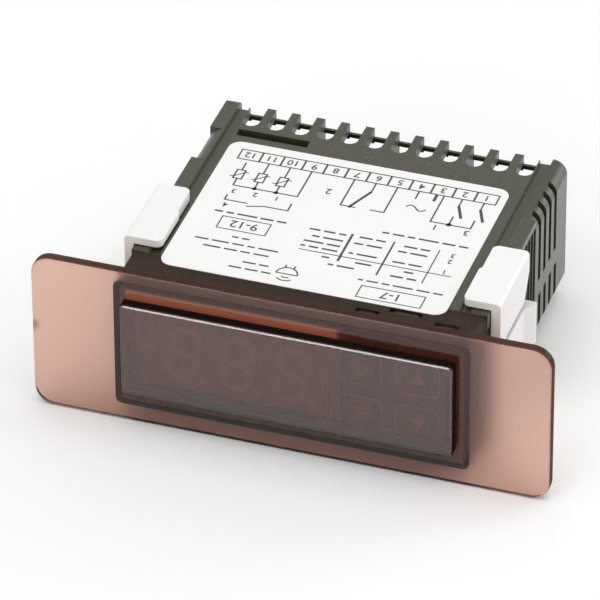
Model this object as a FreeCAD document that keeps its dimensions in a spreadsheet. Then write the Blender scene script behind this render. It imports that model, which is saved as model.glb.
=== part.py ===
import FreeCAD, Part
import os
import re
import Sketcher

# Panel-mounted temperature controller with a smoked front, a vented two-part case and two sliding clips.
# Millimetres. X runs across the front, Y from the front to the rear, Z up.
# The origin is the middle of the front plate's back face, which lies on the panel.

doc = FreeCAD.newDocument("temperature_controller")

SIZES = {
    # front bezel
    "plate_width": 103.2,
    "plate_height": 34.3,
    "plate_thickness": 2.0,
    "plate_corner": 4.0,
    "plate_edge": 0.5,
    "window_width": 66.2,
    "window_height": 20.8,
    "window_proud": 2.4,
    "window_rise": 0.9,
    "recess_margin": 2.0,
    "recess_depth": 0.8,
    "window_corner": 0.8,
    "window_edge": 0.4,
    "collar_proud": 0.4,
    "collar_depth": 9.8,
    "collar_wall": 1.3,
    "collar_corner": 1.5,
    # clearances: between pieces that sit together, and between pieces that move past each other
    "fit_gap": 0.1,
    "run_gap": 0.2,
    # case
    "body_width": 70.0,
    "body_height": 28.5,
    "body_rear": 65.0,
    "case_wall": 1.6,
    "deck_wall": 2.0,
    "parting_drop": 4.9,
    "shoulder_width": 2.9,
    "shoulder_length": 21.8,
    "heel_length": 10.7,
    "rear_edge": 1.2,
    "sill_depth": 1.1,
    "channel_width": 2.3,
    "channel_depth": 0.7,
    "neck_wall": 1.2,
    "neck_reach": 3.0,
    "lug_proud": 0.45,
    "lug_depth": 3.3,
    "lug_height": 3.15,
    # snaps that hold the case in the collar
    "snap_width": 2.8,
    "snap_reach": 3.9,
    "middle_snap_width": 4.6,
    "middle_snap_reach": 5.7,
    "snap_hook": 0.9,
    "snap_rise": 1.0,
    "snap_room": 0.15,
    "snap_side_room": 0.95,
    "snap_inset": 4.8,
    "snap_spread": 15.7,
    "middle_snap_step": 7.1,
    # vents and rack in the case walls
    "vent_width": 1.6,
    "vent_pitch": 3.5,
    "vent_inset": 1.7,
    "upper_vent_setback": 8.8,
    "upper_vent_foot": 1.3,
    "upper_vent_count": 4,
    "lower_vent_setback": 8.3,
    "lower_vent_count": 8,
    "rack_setback": 5.6,
    "rack_pitch": 1.85,
    "rack_land": 0.28,
    "rack_depth": 0.6,
    "rack_inset": 1.45,
    "rack_count": 15,
    # terminals and the comb over them
    "terminal_count": 12,
    "row_gap": 0.72,
    "block_end": 2.2,
    "tooth_width": 1.75,
    "notch_length": 8.1,
    "tooth_setback": 1.2,
    "end_setback": 2.0,
    "bar_height": 0.9,
    "bar_depth": 0.6,
    "tab_width": 0.65,
    "tab_height": 0.4,
    "web_every": 3,
    "block_room": 3.55,
    "block_depth": 8.0,
    "cell_width": 4.1,
    "cell_depth": 5.4,
    "cell_wall": 1.5,
    "entry_width": 3.3,
    "head_diameter": 3.4,
    "head_height": 1.8,
    "head_slot": 0.6,
    "head_slot_depth": 0.9,
    "well_depth": 2.7,
    "well_floor": 0.9,
    "screw_diameter": 2.4,
    "thread_gap": 0.08,
    "cage_travel": 2.5,
    "cage_wall": 0.6,
    "cage_top": 1.6,
    "cage_bottom": 1.0,
    "wire_room": 3.0,
    "tongue_thickness": 0.8,
    "tongue_width": 2.0,
    "leg_length": 1.2,
    # service slot in the deck
    "slot_inset": 0.4,
    "slot_length": 14.7,
    "slot_gap": 0.3,
    "slot_width": 2.2,
    # rating label
    "label_left_gap": 0.6,
    "label_right_gap": 2.1,
    "label_lap": 2.8,
    "label_rear_gap": 2.1,
    "label_thickness": 0.15,
    "label_corner": 2.5,
    # sliding clips
    "clip_front": 11.5,
    "clip_length": 18.8,
    "clip_thickness": 1.5,
    "clip_gap": 0.25,
    "clip_stand": 1.0,
    "clip_corner": 1.3,
    "clip_edge": 0.9,
    "jog_setback": 8.5,
    "jog_run": 0.8,
    "jog_depth": 0.45,
    "hook_length": 7.0,
    "wing_foot": 6.2,
    "wing_slant": 2.9,
    "wing_inset": 4.4,
    "finger_half": 4.6,
    "finger_setback": 4.0,
    "flare_out": 1.6,
    "flare_length": 3.2,
    "flare_tip": 0.64,
    "pawl_pitch": 1.85,
    "pawl_length": 1.5,
    "pawl_clear": 0.25,
    # boards and what they carry
    "board_thickness": 1.6,
    "board_stand": 2.25,
    "board_gap": 0.3,
    "part_gap": 1.0,
    "rail_width": 1.5,
    "display_width": 42.6,
    "display_inset": 1.0,
    "display_face": 0.35,
    "post_size": 5.0,
    "key_gap": 2.2,
    "key_side": 3.0,
    "key_inset": 0.8,
    "key_drop": 0.3,
    "pin_size": 0.64,
    "pin_hole": 1.0,
    "pin_pitch": 2.54,
    "link_pins": 8,
    "service_pins": 5,
    "socket_depth": 5.0,
    "header_size": 2.5,
    "chip_size": 10.0,
    "chip_height": 1.4,
    "compressor_relay_width": 20.0,
    "compressor_relay_length": 27.0,
    "compressor_relay_height": 17.0,
    "defrost_relay_width": 12.7,
    "defrost_relay_length": 29.0,
    "defrost_relay_height": 15.7,
    "fan_relay_width": 10.2,
    "fan_relay_length": 20.5,
    "fan_relay_height": 15.3,
    "relay_edge": 0.8,
    "core_width": 17.0,
    "core_depth": 5.0,
    "core_height": 14.0,
    "core_limb": 4.0,
    "winding_depth": 10.0,
    "capacitor_diameter": 10.0,
    "capacitor_height": 15.0,
    "capacitor_edge": 0.6,
    "buzzer_diameter": 11.6,
    "buzzer_height": 8.5,
    "buzzer_hole": 2.0,
    "buzzer_hole_depth": 4.0,
    "varistor_diameter": 9.0,
    "varistor_thickness": 4.0,
    "varistor_stand": 2.0,
    "varistor_lead_gap": 5.0,
}

sheet = doc.addObject("Spreadsheet::Sheet", "Sizes")
for row, (alias, value) in enumerate(SIZES.items(), start=1):
    sheet.set(f"A{row}", alias.replace("_", " "))
    sheet.set(f"B{row}", str(value))
    sheet.setAlias(f"B{row}", alias)
doc.recompute()

# Places that follow from the sizes, as formulas in those names. First the collar and the case round it.
ZERO = "0"
SIDE = "body_width / 2"
DECK = "body_height / 2"
INSIDE = f"({SIDE} - case_wall)"
CEILING = f"({DECK} - deck_wall)"
PARTING = "-parting_drop"
COLLAR_SIDE = f"({SIDE} + collar_proud)"
COLLAR_BORE = f"({COLLAR_SIDE} - collar_wall)"
COLLAR_CEILING = f"({DECK} - collar_wall)"
NECK_SIDE = f"({COLLAR_BORE} - fit_gap)"
NECK_TOP = f"({COLLAR_CEILING} - fit_gap)"
NECK_FRONT = "(collar_depth - neck_reach)"
HOLLOW_FRONT = "(collar_depth + case_wall)"
SHOULDER_FRONT = "(body_rear - shoulder_length)"
CHANNEL_OUT = f"({SIDE} - shoulder_width)"
CHANNEL_IN = f"({CHANNEL_OUT} - channel_width)"

# Each snap: its place across, its width and how near it comes to the plate.
RIGHT_SNAP = f"({NECK_SIDE} - snap_inset)"
LEFT_SNAP = f"({RIGHT_SNAP} - snap_spread)"
MIDDLE_SNAP = f"({LEFT_SNAP} + middle_snap_step)"
SNAPS = [(LEFT_SNAP, "snap_width", "snap_reach"),
         (MIDDLE_SNAP, "middle_snap_width", "middle_snap_reach"),
         (RIGHT_SNAP, "snap_width", "snap_reach")]

# The front window, its recess and the display behind it.
WINDOW_FRONT = "(plate_thickness + window_proud)"
WINDOW_LOW = "(window_rise - window_height / 2)"
WINDOW_HIGH = "(window_rise + window_height / 2)"
RECESS_SIDE = "(window_width / 2 - recess_margin)"
RECESS_HALF = "(window_height / 2 - recess_margin)"
DISPLAY_SIDE = f"({COLLAR_BORE} - display_inset)"
DISPLAY_RIGHT = f"(display_width - {DISPLAY_SIDE})"
DISPLAY_BOARD_FRONT = f"({NECK_FRONT} - board_thickness)"
KEY_COLUMNS = (f"({DISPLAY_RIGHT} + key_gap + post_size / 2)", f"({RECESS_SIDE} - key_side - post_size / 2)")
KEY_ROW = f"({RECESS_HALF} - key_inset - post_size / 2)"

# The terminal row fills the case's width; its block stands on the main board below the comb.
BLOCK_SIDE = f"({INSIDE} - row_gap)"
TERMINAL_PITCH = f"(({BLOCK_SIDE} - block_end) * 2 / terminal_count)"
FIRST_TERMINAL = f"({TERMINAL_PITCH} * (1 - terminal_count) / 2)"
BOARD_FRONT = f"({HOLLOW_FRONT} + board_gap)"
BOARD_UNDER = f"(board_stand - {CEILING})"
BOARD_TOP = f"({BOARD_UNDER} + board_thickness)"
BLOCK_REAR = "(body_rear - sill_depth - board_gap)"
BLOCK_FRONT = f"({BLOCK_REAR} - block_depth)"
BLOCK_TOP = f"({CEILING} - bar_height - block_room)"
CELL_REAR = f"({BLOCK_REAR} - cell_wall)"
CELL_FRONT = f"({CELL_REAR} - cell_depth)"
SCREW_LINE = f"({CELL_REAR} - cell_depth / 2 + tongue_thickness / 2)"
WELL_FLOOR = f"({BLOCK_TOP} - well_depth)"
CELL_TOP = f"({WELL_FLOOR} - well_floor)"
TONGUE_TOP = f"({CELL_TOP} - run_gap - cage_travel - cage_top - run_gap)"
TONGUE_UNDER = f"({TONGUE_TOP} - tongue_thickness)"
CAGE_FLOOR = f"({TONGUE_UNDER} - wire_room)"
NOTCH_FRONT = "(body_rear - notch_length)"
BAR_FRONT = "(body_rear - tooth_setback - bar_depth)"

# The service slot, the label in front of it and the clips beside it.
SLOT_LEFT = f"(slot_inset - {CHANNEL_IN})"
SLOT_RIGHT = f"({SLOT_LEFT} + slot_length)"
SLOT_REAR = f"({BLOCK_FRONT} - slot_gap)"
SLOT_FRONT = f"({SLOT_REAR} - slot_width)"
LABEL_LEFT = f"(label_left_gap - {CHANNEL_IN})"
LABEL_RIGHT = f"({CHANNEL_IN} - label_right_gap)"
LABEL_FRONT = "(collar_depth - label_lap)"
LABEL_REAR = f"({SLOT_FRONT} - label_rear_gap)"
CLIP_IN = f"({CHANNEL_IN} + clip_gap)"
CLIP_SEAT = f"({DECK} + clip_gap)"
CLIP_TOP = f"({CLIP_SEAT} + clip_thickness)"
CLIP_FACE = f"({SIDE} + clip_stand)"
CLIP_OUT = f"({CLIP_FACE} + clip_thickness)"
CLIP_REAR = "(clip_front + clip_length)"

# What stands on the main board: relays from the right wall leftward, the rest along the left wall.
WALL_SPOT = f"({INSIDE} - part_gap)"
PARTS_FRONT = f"({BOARD_FRONT} + part_gap)"
PARTS_REAR = f"({SLOT_FRONT} - part_gap)"
COMPRESSOR_LEFT = f"({WALL_SPOT} - compressor_relay_width)"
DEFROST_LEFT = f"({COMPRESSOR_LEFT} - part_gap - defrost_relay_width)"
FAN_LEFT = f"({DEFROST_LEFT} - part_gap - fan_relay_width)"
RELAYS = {"compressor_relay": COMPRESSOR_LEFT, "defrost_relay": DEFROST_LEFT, "fan_relay": FAN_LEFT}
ROUND_MIDDLE = f"(buzzer_diameter / 2 - {WALL_SPOT})"
BUZZER_PLACE = f"({PARTS_REAR} - buzzer_diameter / 2)"
CAPACITOR_PLACE = f"({PARTS_REAR} - buzzer_diameter - part_gap - capacitor_diameter / 2)"
LINK_LEVEL = f"({BOARD_TOP} + header_size / 2)"
FIRST_LINK = "(pin_pitch * (1 - link_pins) / 2)"


def tied(formula):
    """The formula with each size name pointing at its cell in the sheet."""
    return re.sub(r"[a-z_]+", lambda word: f"Sizes.{word[0]}" if word[0] in SIZES else word[0], formula)


def number(formula):
    """What a formula in the size names comes to."""
    return float(sheet.evalExpression(formula))


def origin_part(body, role):
    """One of a body's own origin planes or axes."""
    return next(part for part in body.Origin.OriginFeatures if part.Role == role)


def new_body(label):
    body = doc.addObject("PartDesign::Body", label)
    body.Label = label
    return body


# How close an edge lies to the place it is looked for.
NEAR = 1e-3

# Each plane's normal, as a sign along the remaining axis.
PLANE_NORMAL = {"XY": 1, "XZ": -1, "YZ": 1}


def tie_point(sketch, geometry, point, across, along):
    """Hold one point of a sketch at two formulas from the sketch's origin."""
    for kind, formula in (("DistanceX", across), ("DistanceY", along)):
        held = sketch.addConstraint(Sketcher.Constraint(kind, -1, 1, geometry, point, number(formula)))
        sketch.setExpression(f"Constraints[{held}]", tied(formula))


def draw_corners(sketch, corners):
    """A closed outline of straight lines through corners given as formulas."""
    points = [FreeCAD.Vector(number(across), number(along), 0) for across, along in corners]
    first = sketch.GeometryCount
    for here, there in zip(points, points[1:] + points[:1]):
        sketch.addGeometry(Part.LineSegment(here, there), False)
    count = len(corners)
    for index, (across, along) in enumerate(corners):
        line = first + index
        following = first + (index + 1) % count
        sketch.addConstraint(Sketcher.Constraint("Coincident", line, 2, following, 1))
        tie_point(sketch, line, 1, across, along)


def draw_circle(sketch, across, along, radius):
    middle = FreeCAD.Vector(number(across), number(along), 0)
    circle = Part.Circle(middle, FreeCAD.Vector(0, 0, 1), number(radius))
    index = sketch.addGeometry(circle, False)
    tie_point(sketch, index, 3, across, along)
    held = sketch.addConstraint(Sketcher.Constraint("Radius", index, number(radius)))
    sketch.setExpression(f"Constraints[{held}]", tied(radius))


def new_sketch(body, name, plane, level, outlines):
    """A sketch of outlines (lists of corners) and circles (tuples) at a level along the plane's axis."""
    sketch = body.newObject("Sketcher::SketchObject", f"{name}_sketch")
    sketch.AttachmentSupport = [(origin_part(body, f"{plane}_Plane"), "")]
    sketch.MapMode = "FlatFace"
    sketch.setExpression("AttachmentOffset.Base.z", tied(f"{PLANE_NORMAL[plane]} * ({level})"))
    for outline in outlines:
        if isinstance(outline, tuple):
            draw_circle(sketch, *outline)
        else:
            draw_corners(sketch, outline)
    return sketch


def grown(body, name, plane, level, outlines, length, toward=1):
    """Pad outlines from a level by a length, toward plus or minus along the plane's axis."""
    pad = body.newObject("PartDesign::Pad", name)
    pad.Profile = new_sketch(body, name, plane, level, outlines)
    pad.setExpression("Length", tied(length))
    pad.Reversed = toward != PLANE_NORMAL[plane]
    doc.recompute()
    return pad


def cut(body, name, plane, level, outlines, length, toward=1):
    """Pocket outlines from a level by a length; a pocket that removes nothing is an error."""
    before = body.Shape.Volume
    pocket = body.newObject("PartDesign::Pocket", name)
    pocket.Profile = new_sketch(body, name, plane, level, outlines)
    pocket.setExpression("Length", tied(length))
    pocket.Reversed = toward == PLANE_NORMAL[plane]
    doc.recompute()
    if body.Shape.Volume >= before:
        raise RuntimeError(f"{body.Label}: {name} cuts nothing")
    return pocket


def repeated(body, name, features, axis, pitch, count, backward=False):
    """Repeat features along one of the body's axes."""
    pattern = body.newObject("PartDesign::LinearPattern", name)
    pattern.Originals = features
    pattern.Direction = (origin_part(body, f"{axis}_Axis"), [""])
    pattern.setExpression("Length", tied(f"{pitch} * ({count} - 1)"))
    pattern.setExpression("Occurrences", tied(count))
    pattern.Reversed = backward
    body.Tip = pattern
    doc.recompute()
    return pattern


def edges_at(body, **planes):
    """Names of the edges that lie, on either side of the origin, at each stated distance along X, Y or Z."""
    wanted = {axis.upper(): abs(number(formula)) for axis, formula in planes.items()}
    names = []
    for index, edge in enumerate(body.Tip.Shape.Edges, start=1):
        box = edge.BoundBox
        ends = [(getattr(box, f"{axis}Min"), getattr(box, f"{axis}Max"), far) for axis, far in wanted.items()]
        if all(high - low < NEAR and abs(abs(low) - far) < NEAR for low, high, far in ends):
            names.append(f"Edge{index}")
    return names


def rear_corner_edges(body):
    """The upright and rounded edges at both sides of the case's rear face."""
    side = number(SIDE)
    names = []
    for name in edges_at(body, y="body_rear"):
        box = body.Tip.Shape.getElement(name).BoundBox
        if box.XLength < side and abs(max(-box.XMin, box.XMax) - side) < NEAR:
            names.append(name)
    return names


def eased(body, kind, name, size, edges):
    """Round (Fillet, with a radius) or bevel (Chamfer, with a size) the named edges."""
    base = body.Tip
    feature = body.newObject(f"PartDesign::{kind}", name)
    feature.Base = (base, edges)
    feature.setExpression("Radius" if kind == "Fillet" else "Size", tied(size))
    body.Tip = feature
    doc.recompute()
    return feature


def rounded(body, name, radius, **planes):
    """Fillet the edges found at the stated planes."""
    return eased(body, "Fillet", name, radius, edges_at(body, **planes))


def rectangle(left, right, low, high):
    return [(left, low), (right, low), (right, high), (left, high)]


def square(across, along, size):
    """A square about a middle point."""
    return rectangle(f"{across} - {size} / 2", f"{across} + {size} / 2",
                     f"{along} - {size} / 2", f"{along} + {size} / 2")


def octagon(across, along, radius):
    """Eight corners on a radius about a middle point, with a flat to each side."""
    far = f"{radius} * cos(22.5)"
    near = f"{radius} * sin(22.5)"
    ring = [(far, near), (near, far), (f"-{near}", far), (f"-{far}", near),
            (f"-{far}", f"-{near}"), (f"-{near}", f"-{far}"), (near, f"-{far}"), (far, f"-{near}")]
    return [(f"{across} + {step}", f"{along} + {rise}") for step, rise in ring]


def both_sides(inner, outer, low, high):
    """Two rectangles, mirror images across the middle."""
    return [rectangle(inner, outer, low, high), rectangle(f"-{outer}", f"-{inner}", low, high)]


def flipped(sign, formula):
    return f"{sign} * ({formula})"


def front_bezel():
    """Plate, raised window and collar, one smoked moulding; snap windows in the collar hold the case."""
    body = new_body("front_bezel")
    plate = rectangle("-plate_width / 2", "plate_width / 2", "-plate_height / 2", "plate_height / 2")
    grown(body, "plate", "XZ", "-plate_thickness", [plate], "plate_thickness")
    rounded(body, "plate_corners", "plate_corner", x="plate_width / 2", z="plate_height / 2")
    rounded(body, "plate_front_edge", "plate_edge", y="plate_thickness")
    window = rectangle("-window_width / 2", "window_width / 2", WINDOW_LOW, WINDOW_HIGH)
    grown(body, "window", "XZ", f"-{WINDOW_FRONT}", [window], "window_proud")
    for name, level in (("window_low_corners", WINDOW_LOW), ("window_high_corners", WINDOW_HIGH)):
        rounded(body, name, "window_corner", x="window_width / 2", z=level)
    eased(body, "Chamfer", "window_front_edge", "window_edge", edges_at(body, y=WINDOW_FRONT))
    collar = rectangle(f"-{COLLAR_SIDE}", COLLAR_SIDE, f"-{DECK}", DECK)
    grown(body, "collar", "XZ", ZERO, [collar], "collar_depth")
    rounded(body, "collar_corners", "collar_corner", x=COLLAR_SIDE, z=DECK)
    bore = rectangle(f"-{COLLAR_BORE}", COLLAR_BORE, f"-{COLLAR_CEILING}", COLLAR_CEILING)
    cut(body, "collar_bore", "XZ", "collar_depth", [bore], "collar_depth", toward=-1)
    recess = rectangle(f"-{RECESS_SIDE}", RECESS_SIDE,
                       f"window_rise - {RECESS_HALF}", f"window_rise + {RECESS_HALF}")
    cut(body, "window_recess", "XZ", ZERO, [recess], "recess_depth", toward=-1)
    openings = [rectangle(f"{place} - {width} / 2 - snap_side_room",
                          f"{place} + {width} / 2 + snap_side_room",
                          f"{reach} - snap_room", f"{reach} + snap_hook + snap_room")
                for place, width, reach in SNAPS]
    cut(body, "snap_windows", "XY", f"-{DECK}", openings, "body_height")
    return body


def case_half(label, sign):
    """One half of the case: vented shell, neck inside the collar, clip channels, lugs and snaps."""
    body = new_body(label)
    outer = flipped(sign, DECK)
    shell = [rectangle(f"-{SIDE}", SIDE, PARTING, outer)]
    grown(body, "rear_block", "XZ", SHOULDER_FRONT, shell, "shoulder_length")
    rounded(body, "shoulders", "shoulder_width", x=SIDE, z=DECK)
    if sign > 0:
        # the left shoulder is square at its rear end
        heel = rectangle(f"-{SIDE}", f"-{CHANNEL_OUT}", f"{DECK} - shoulder_width", DECK)
        grown(body, "left_heel", "XZ", "body_rear - heel_length", [heel], "heel_length")
    eased(body, "Fillet", "rear_corners", "rear_edge", rear_corner_edges(body))
    grown(body, "front_block", "XZ", "collar_depth", shell, f"{SHOULDER_FRONT} - collar_depth")
    neck = [rectangle(f"-{NECK_SIDE}", NECK_SIDE, PARTING, flipped(sign, NECK_TOP))]
    grown(body, "neck", "XZ", NECK_FRONT, neck, "neck_reach")
    bore_side = f"({NECK_SIDE} - neck_wall)"
    bore = [rectangle(f"-{bore_side}", bore_side, PARTING, flipped(sign, f"{NECK_TOP} - neck_wall"))]
    cut(body, "neck_bore", "XZ", NECK_FRONT, bore, f"body_rear - {NECK_FRONT}")
    hollow = [rectangle(f"-{INSIDE}", INSIDE, PARTING, flipped(sign, CEILING))]
    cut(body, "hollow", "XZ", HOLLOW_FRONT, hollow, f"body_rear - {HOLLOW_FRONT}")
    channels = both_sides(CHANNEL_IN, CHANNEL_OUT, flipped(sign, f"{DECK} - channel_depth"), outer)
    cut(body, "clip_channels", "XZ", "collar_depth", channels, "body_rear - collar_depth")
    lugs = both_sides(INSIDE, f"({SIDE} + lug_proud)", flipped(sign, f"{DECK} - lug_height"), outer)
    grown(body, "lugs", "XZ", "collar_depth", lugs, "lug_depth")
    for name, start, rise, end in (("snap_tongues", f"{NECK_TOP} - neck_wall", "neck_wall", NECK_FRONT),
                                   ("snap_hooks", NECK_TOP, "snap_rise", None)):
        outlines = [rectangle(f"{place} - {width} / 2", f"{place} + {width} / 2",
                              reach, end or f"{reach} + snap_hook") for place, width, reach in SNAPS]
        grown(body, name, "XY", flipped(sign, start), outlines, rise, sign)
    return body


def vent_row(body, name, setback, low, high, count, sides):
    """Slots through a side wall that run out over the case's long edge."""
    level = f"{SIDE} - vent_inset"
    slot = rectangle(f"body_rear - {setback} - vent_width / 2", f"body_rear - {setback} + vent_width / 2",
                     low, high)
    slots = [cut(body, f"{name}_{'left' if side < 0 else 'right'}", "YZ", flipped(side, level), [slot],
                 "vent_inset * 2", side) for side in sides]
    repeated(body, f"{name}_row", slots, "Y", "vent_pitch", count, backward=True)


def upper_case():
    """Upper shell with the comb over the terminal screws, the service slot and the clips' racks."""
    body = case_half("upper_case", 1)
    through = "deck_wall * 2"
    row_end = f"({TERMINAL_PITCH} * terminal_count / 2 - tooth_width / 2)"
    tips = [rectangle(f"-{row_end}", row_end, "body_rear - tooth_setback", "body_rear")]
    tips += both_sides(row_end, CHANNEL_OUT, "body_rear - end_setback", "body_rear")
    cut(body, "tooth_tips", "XY", DECK, tips, through, toward=-1)
    gap_half = f"(({TERMINAL_PITCH} - tooth_width) / 2)"
    gap_middle = f"({NOTCH_FRONT} + {gap_half})"
    run = rectangle(f"{FIRST_TERMINAL} - {gap_half}", f"{FIRST_TERMINAL} + {gap_half}",
                    gap_middle, "body_rear")
    notch = [cut(body, "notch", "XY", DECK, [run], through, toward=-1),
             cut(body, "notch_end", "XY", DECK, [(FIRST_TERMINAL, gap_middle, gap_half)], through, toward=-1)]
    repeated(body, "comb", notch, "X", TERMINAL_PITCH, "terminal_count")
    bar = rectangle(f"-{INSIDE}", INSIDE, f"{CEILING} - bar_height", CEILING)
    grown(body, "comb_bar", "XZ", BAR_FRONT, [bar], "bar_depth")
    tab = rectangle(f"{FIRST_TERMINAL} - {gap_half} - tab_width", f"{FIRST_TERMINAL} - {gap_half}",
                    f"{CEILING} - bar_height - tab_height", f"{CEILING} - bar_height")
    bar_tab = grown(body, "bar_tab", "XZ", BAR_FRONT, [tab], "bar_depth")
    repeated(body, "bar_tabs", [bar_tab], "X", TERMINAL_PITCH, "terminal_count")
    webs = [rectangle(f"{place} * web_every * {TERMINAL_PITCH} - tooth_width / 2",
                      f"{place} * web_every * {TERMINAL_PITCH} + tooth_width / 2",
                      f"{BLOCK_TOP} + fit_gap", CEILING) for place in (-1, 0, 1)]
    grown(body, "divider_webs", "XZ", NOTCH_FRONT, webs, f"{BAR_FRONT} + bar_depth - {NOTCH_FRONT}")
    slot = rectangle(SLOT_LEFT, SLOT_RIGHT, SLOT_FRONT, SLOT_REAR)
    cut(body, "service_slot", "XY", DECK, [slot], through, toward=-1)
    vent_row(body, "vents", "upper_vent_setback", "-upper_vent_foot", DECK, "upper_vent_count", (1,))
    teeth = []
    start = "(collar_depth + rack_setback)"
    end = f"({start} + rack_pitch - rack_land)"
    for name, side in (("rack_right", 1), ("rack_left", -1)):
        valley = [(flipped(side, SIDE), start), (flipped(side, f"{SIDE} - rack_depth"), end),
                  (flipped(side, SIDE), end)]
        teeth.append(cut(body, name, "XY", PARTING, [valley], f"{DECK} - rack_inset + parting_drop"))
    repeated(body, "racks", teeth, "Y", "rack_pitch", "rack_count")
    return body


def lower_case():
    """Lower shell with side vents, the board's rails and a sill under the terminals."""
    body = case_half("lower_case", -1)
    vent_row(body, "vents", "lower_vent_setback", f"-{DECK}", PARTING, "lower_vent_count", (1, -1))
    rails = both_sides(f"({INSIDE} - rail_width)", INSIDE, f"-{CEILING}", BOARD_UNDER)
    grown(body, "board_rails", "XZ", HOLLOW_FRONT, rails, f"{BLOCK_FRONT} - {HOLLOW_FRONT}")
    sill = rectangle(f"-{INSIDE}", INSIDE, f"-{CEILING}", BOARD_TOP)
    grown(body, "rear_sill", "XZ", "body_rear", [sill], "sill_depth", toward=-1)
    return body


def side_clip(label, side):
    """Mounting clip: a section hooked into both clip channels, with a sprung ratchet finger in its wall."""
    body = new_body(label)
    section = [(CLIP_IN, CLIP_TOP), (CLIP_OUT, CLIP_TOP), (CLIP_OUT, f"-{CLIP_TOP}"),
               (CLIP_IN, f"-{CLIP_TOP}"), (CLIP_IN, f"-{CLIP_SEAT}"), (CLIP_FACE, f"-{CLIP_SEAT}"),
               (CLIP_FACE, CLIP_SEAT), (CLIP_IN, CLIP_SEAT)]
    outline = [(flipped(side, across), along) for across, along in section]
    grown(body, "channel_section", "XZ", "clip_front", [outline], "clip_length")
    pad = rectangle(flipped(side, f"{COLLAR_SIDE} + clip_gap"), flipped(side, CLIP_FACE),
                    f"-{CLIP_SEAT}", CLIP_SEAT)
    grown(body, "front_pad", "XZ", "clip_front", [pad], "finger_setback")
    lip = f"({DECK} - channel_depth + clip_gap)"
    hooks = [rectangle(flipped(side, CLIP_IN), flipped(side, f"{CHANNEL_OUT} - clip_gap"),
                       flipped(sign, lip), flipped(sign, CLIP_SEAT)) for sign in (1, -1)]
    grown(body, "hooks", "XZ", f"{CLIP_REAR} - hook_length", hooks, "hook_length")
    jog_start = f"({CLIP_REAR} - jog_setback)"
    narrow = f"({CLIP_IN} + jog_depth)"
    jog = [(flipped(side, CLIP_IN), jog_start), (flipped(side, narrow), f"{jog_start} + jog_run"),
           (flipped(side, narrow), CLIP_REAR), (flipped(side, CLIP_IN), CLIP_REAR)]
    cut(body, "inner_jog", "XY", f"-{CLIP_TOP}", [jog], f"{CLIP_TOP} * 2")
    rounded(body, "front_corners", "clip_corner", x=CLIP_IN, y="clip_front")
    rounded(body, "rear_corners", "clip_corner", x=narrow, y=CLIP_REAR)
    rounded(body, "long_edges", "clip_edge", x=CLIP_OUT, z=CLIP_TOP)
    root = "(clip_front + finger_setback)"
    slots = []
    for sign in (1, -1):
        slots.append([(CLIP_REAR, flipped(sign, f"{CLIP_TOP} - wing_inset")),
                      (f"{CLIP_REAR} - wing_slant", flipped(sign, "wing_foot")),
                      (root, flipped(sign, "wing_foot")),
                      (root, flipped(sign, "finger_half")),
                      (CLIP_REAR, flipped(sign, "finger_half"))])
    cut(body, "finger_slots", "YZ", flipped(side, CLIP_FACE), slots, "clip_thickness", side)
    flare = [(flipped(side, CLIP_OUT), f"{CLIP_REAR} - flare_length"),
             (flipped(side, f"{CLIP_OUT} + flare_out"), f"{CLIP_REAR} - flare_tip"),
             (flipped(side, f"{CLIP_OUT} + flare_out"), CLIP_REAR),
             (flipped(side, CLIP_OUT), CLIP_REAR)]
    grown(body, "thumb_flare", "XY", "-finger_half", [flare], "finger_half * 2")
    pawls = []
    for step in (0, 1, 2):
        crest = f"({CLIP_REAR} - flare_length - pawl_pitch * {step})"
        pawls.append([(flipped(side, CLIP_FACE), crest), (flipped(side, CLIP_FACE), f"{crest} - pawl_length"),
                      (flipped(side, f"{SIDE} + pawl_clear"), crest)])
    grown(body, "pawls", "XY", "-finger_half", pawls, "finger_half * 2")
    return body


def rating_label():
    """Printed label on the deck, lapping the collar's rear edge."""
    body = new_body("rating_label")
    outline = rectangle(LABEL_LEFT, LABEL_RIGHT, LABEL_FRONT, LABEL_REAR)
    grown(body, "label", "XY", DECK, [outline], "label_thickness")
    for side, across in (("left", LABEL_LEFT), ("right", LABEL_RIGHT)):
        for end, along in (("front", LABEL_FRONT), ("rear", LABEL_REAR)):
            rounded(body, f"{side}_{end}_corner", "label_corner", x=across, y=along)
    return body


def main_board():
    """Power board on the lower case's rails, slotted for the terminal legs."""
    body = new_body("main_board")
    edge = f"({INSIDE} - board_gap)"
    outline = rectangle(f"-{edge}", edge, BOARD_FRONT, f"{BLOCK_REAR} - board_gap")
    grown(body, "board", "XY", BOARD_UNDER, [outline], "board_thickness")
    half = "(tongue_width / 2 + fit_gap)"
    slot = rectangle(f"{FIRST_TERMINAL} - {half}", f"{FIRST_TERMINAL} + {half}", CELL_FRONT,
                     f"{CELL_FRONT} + tongue_thickness + run_gap")
    leg_slot = cut(body, "leg_slot", "XY", BOARD_UNDER, [slot], "board_thickness")
    repeated(body, "leg_slots", [leg_slot], "X", TERMINAL_PITCH, "terminal_count")
    return body


def display_board():
    """Front board against the neck, with a row of holes for the link header's pins."""
    body = new_body("display_board")
    edge = f"({COLLAR_BORE} - board_gap)"
    top = f"({NECK_TOP} - neck_wall - board_gap)"
    grown(body, "board", "XZ", DISPLAY_BOARD_FRONT, [rectangle(f"-{edge}", edge, f"-{top}", top)],
          "board_thickness")
    hole = cut(body, "pin_hole", "XZ", DISPLAY_BOARD_FRONT, [square(FIRST_LINK, LINK_LEVEL, "pin_hole")],
               "board_thickness")
    repeated(body, "pin_holes", [hole], "X", "pin_pitch", "link_pins")
    return body


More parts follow.
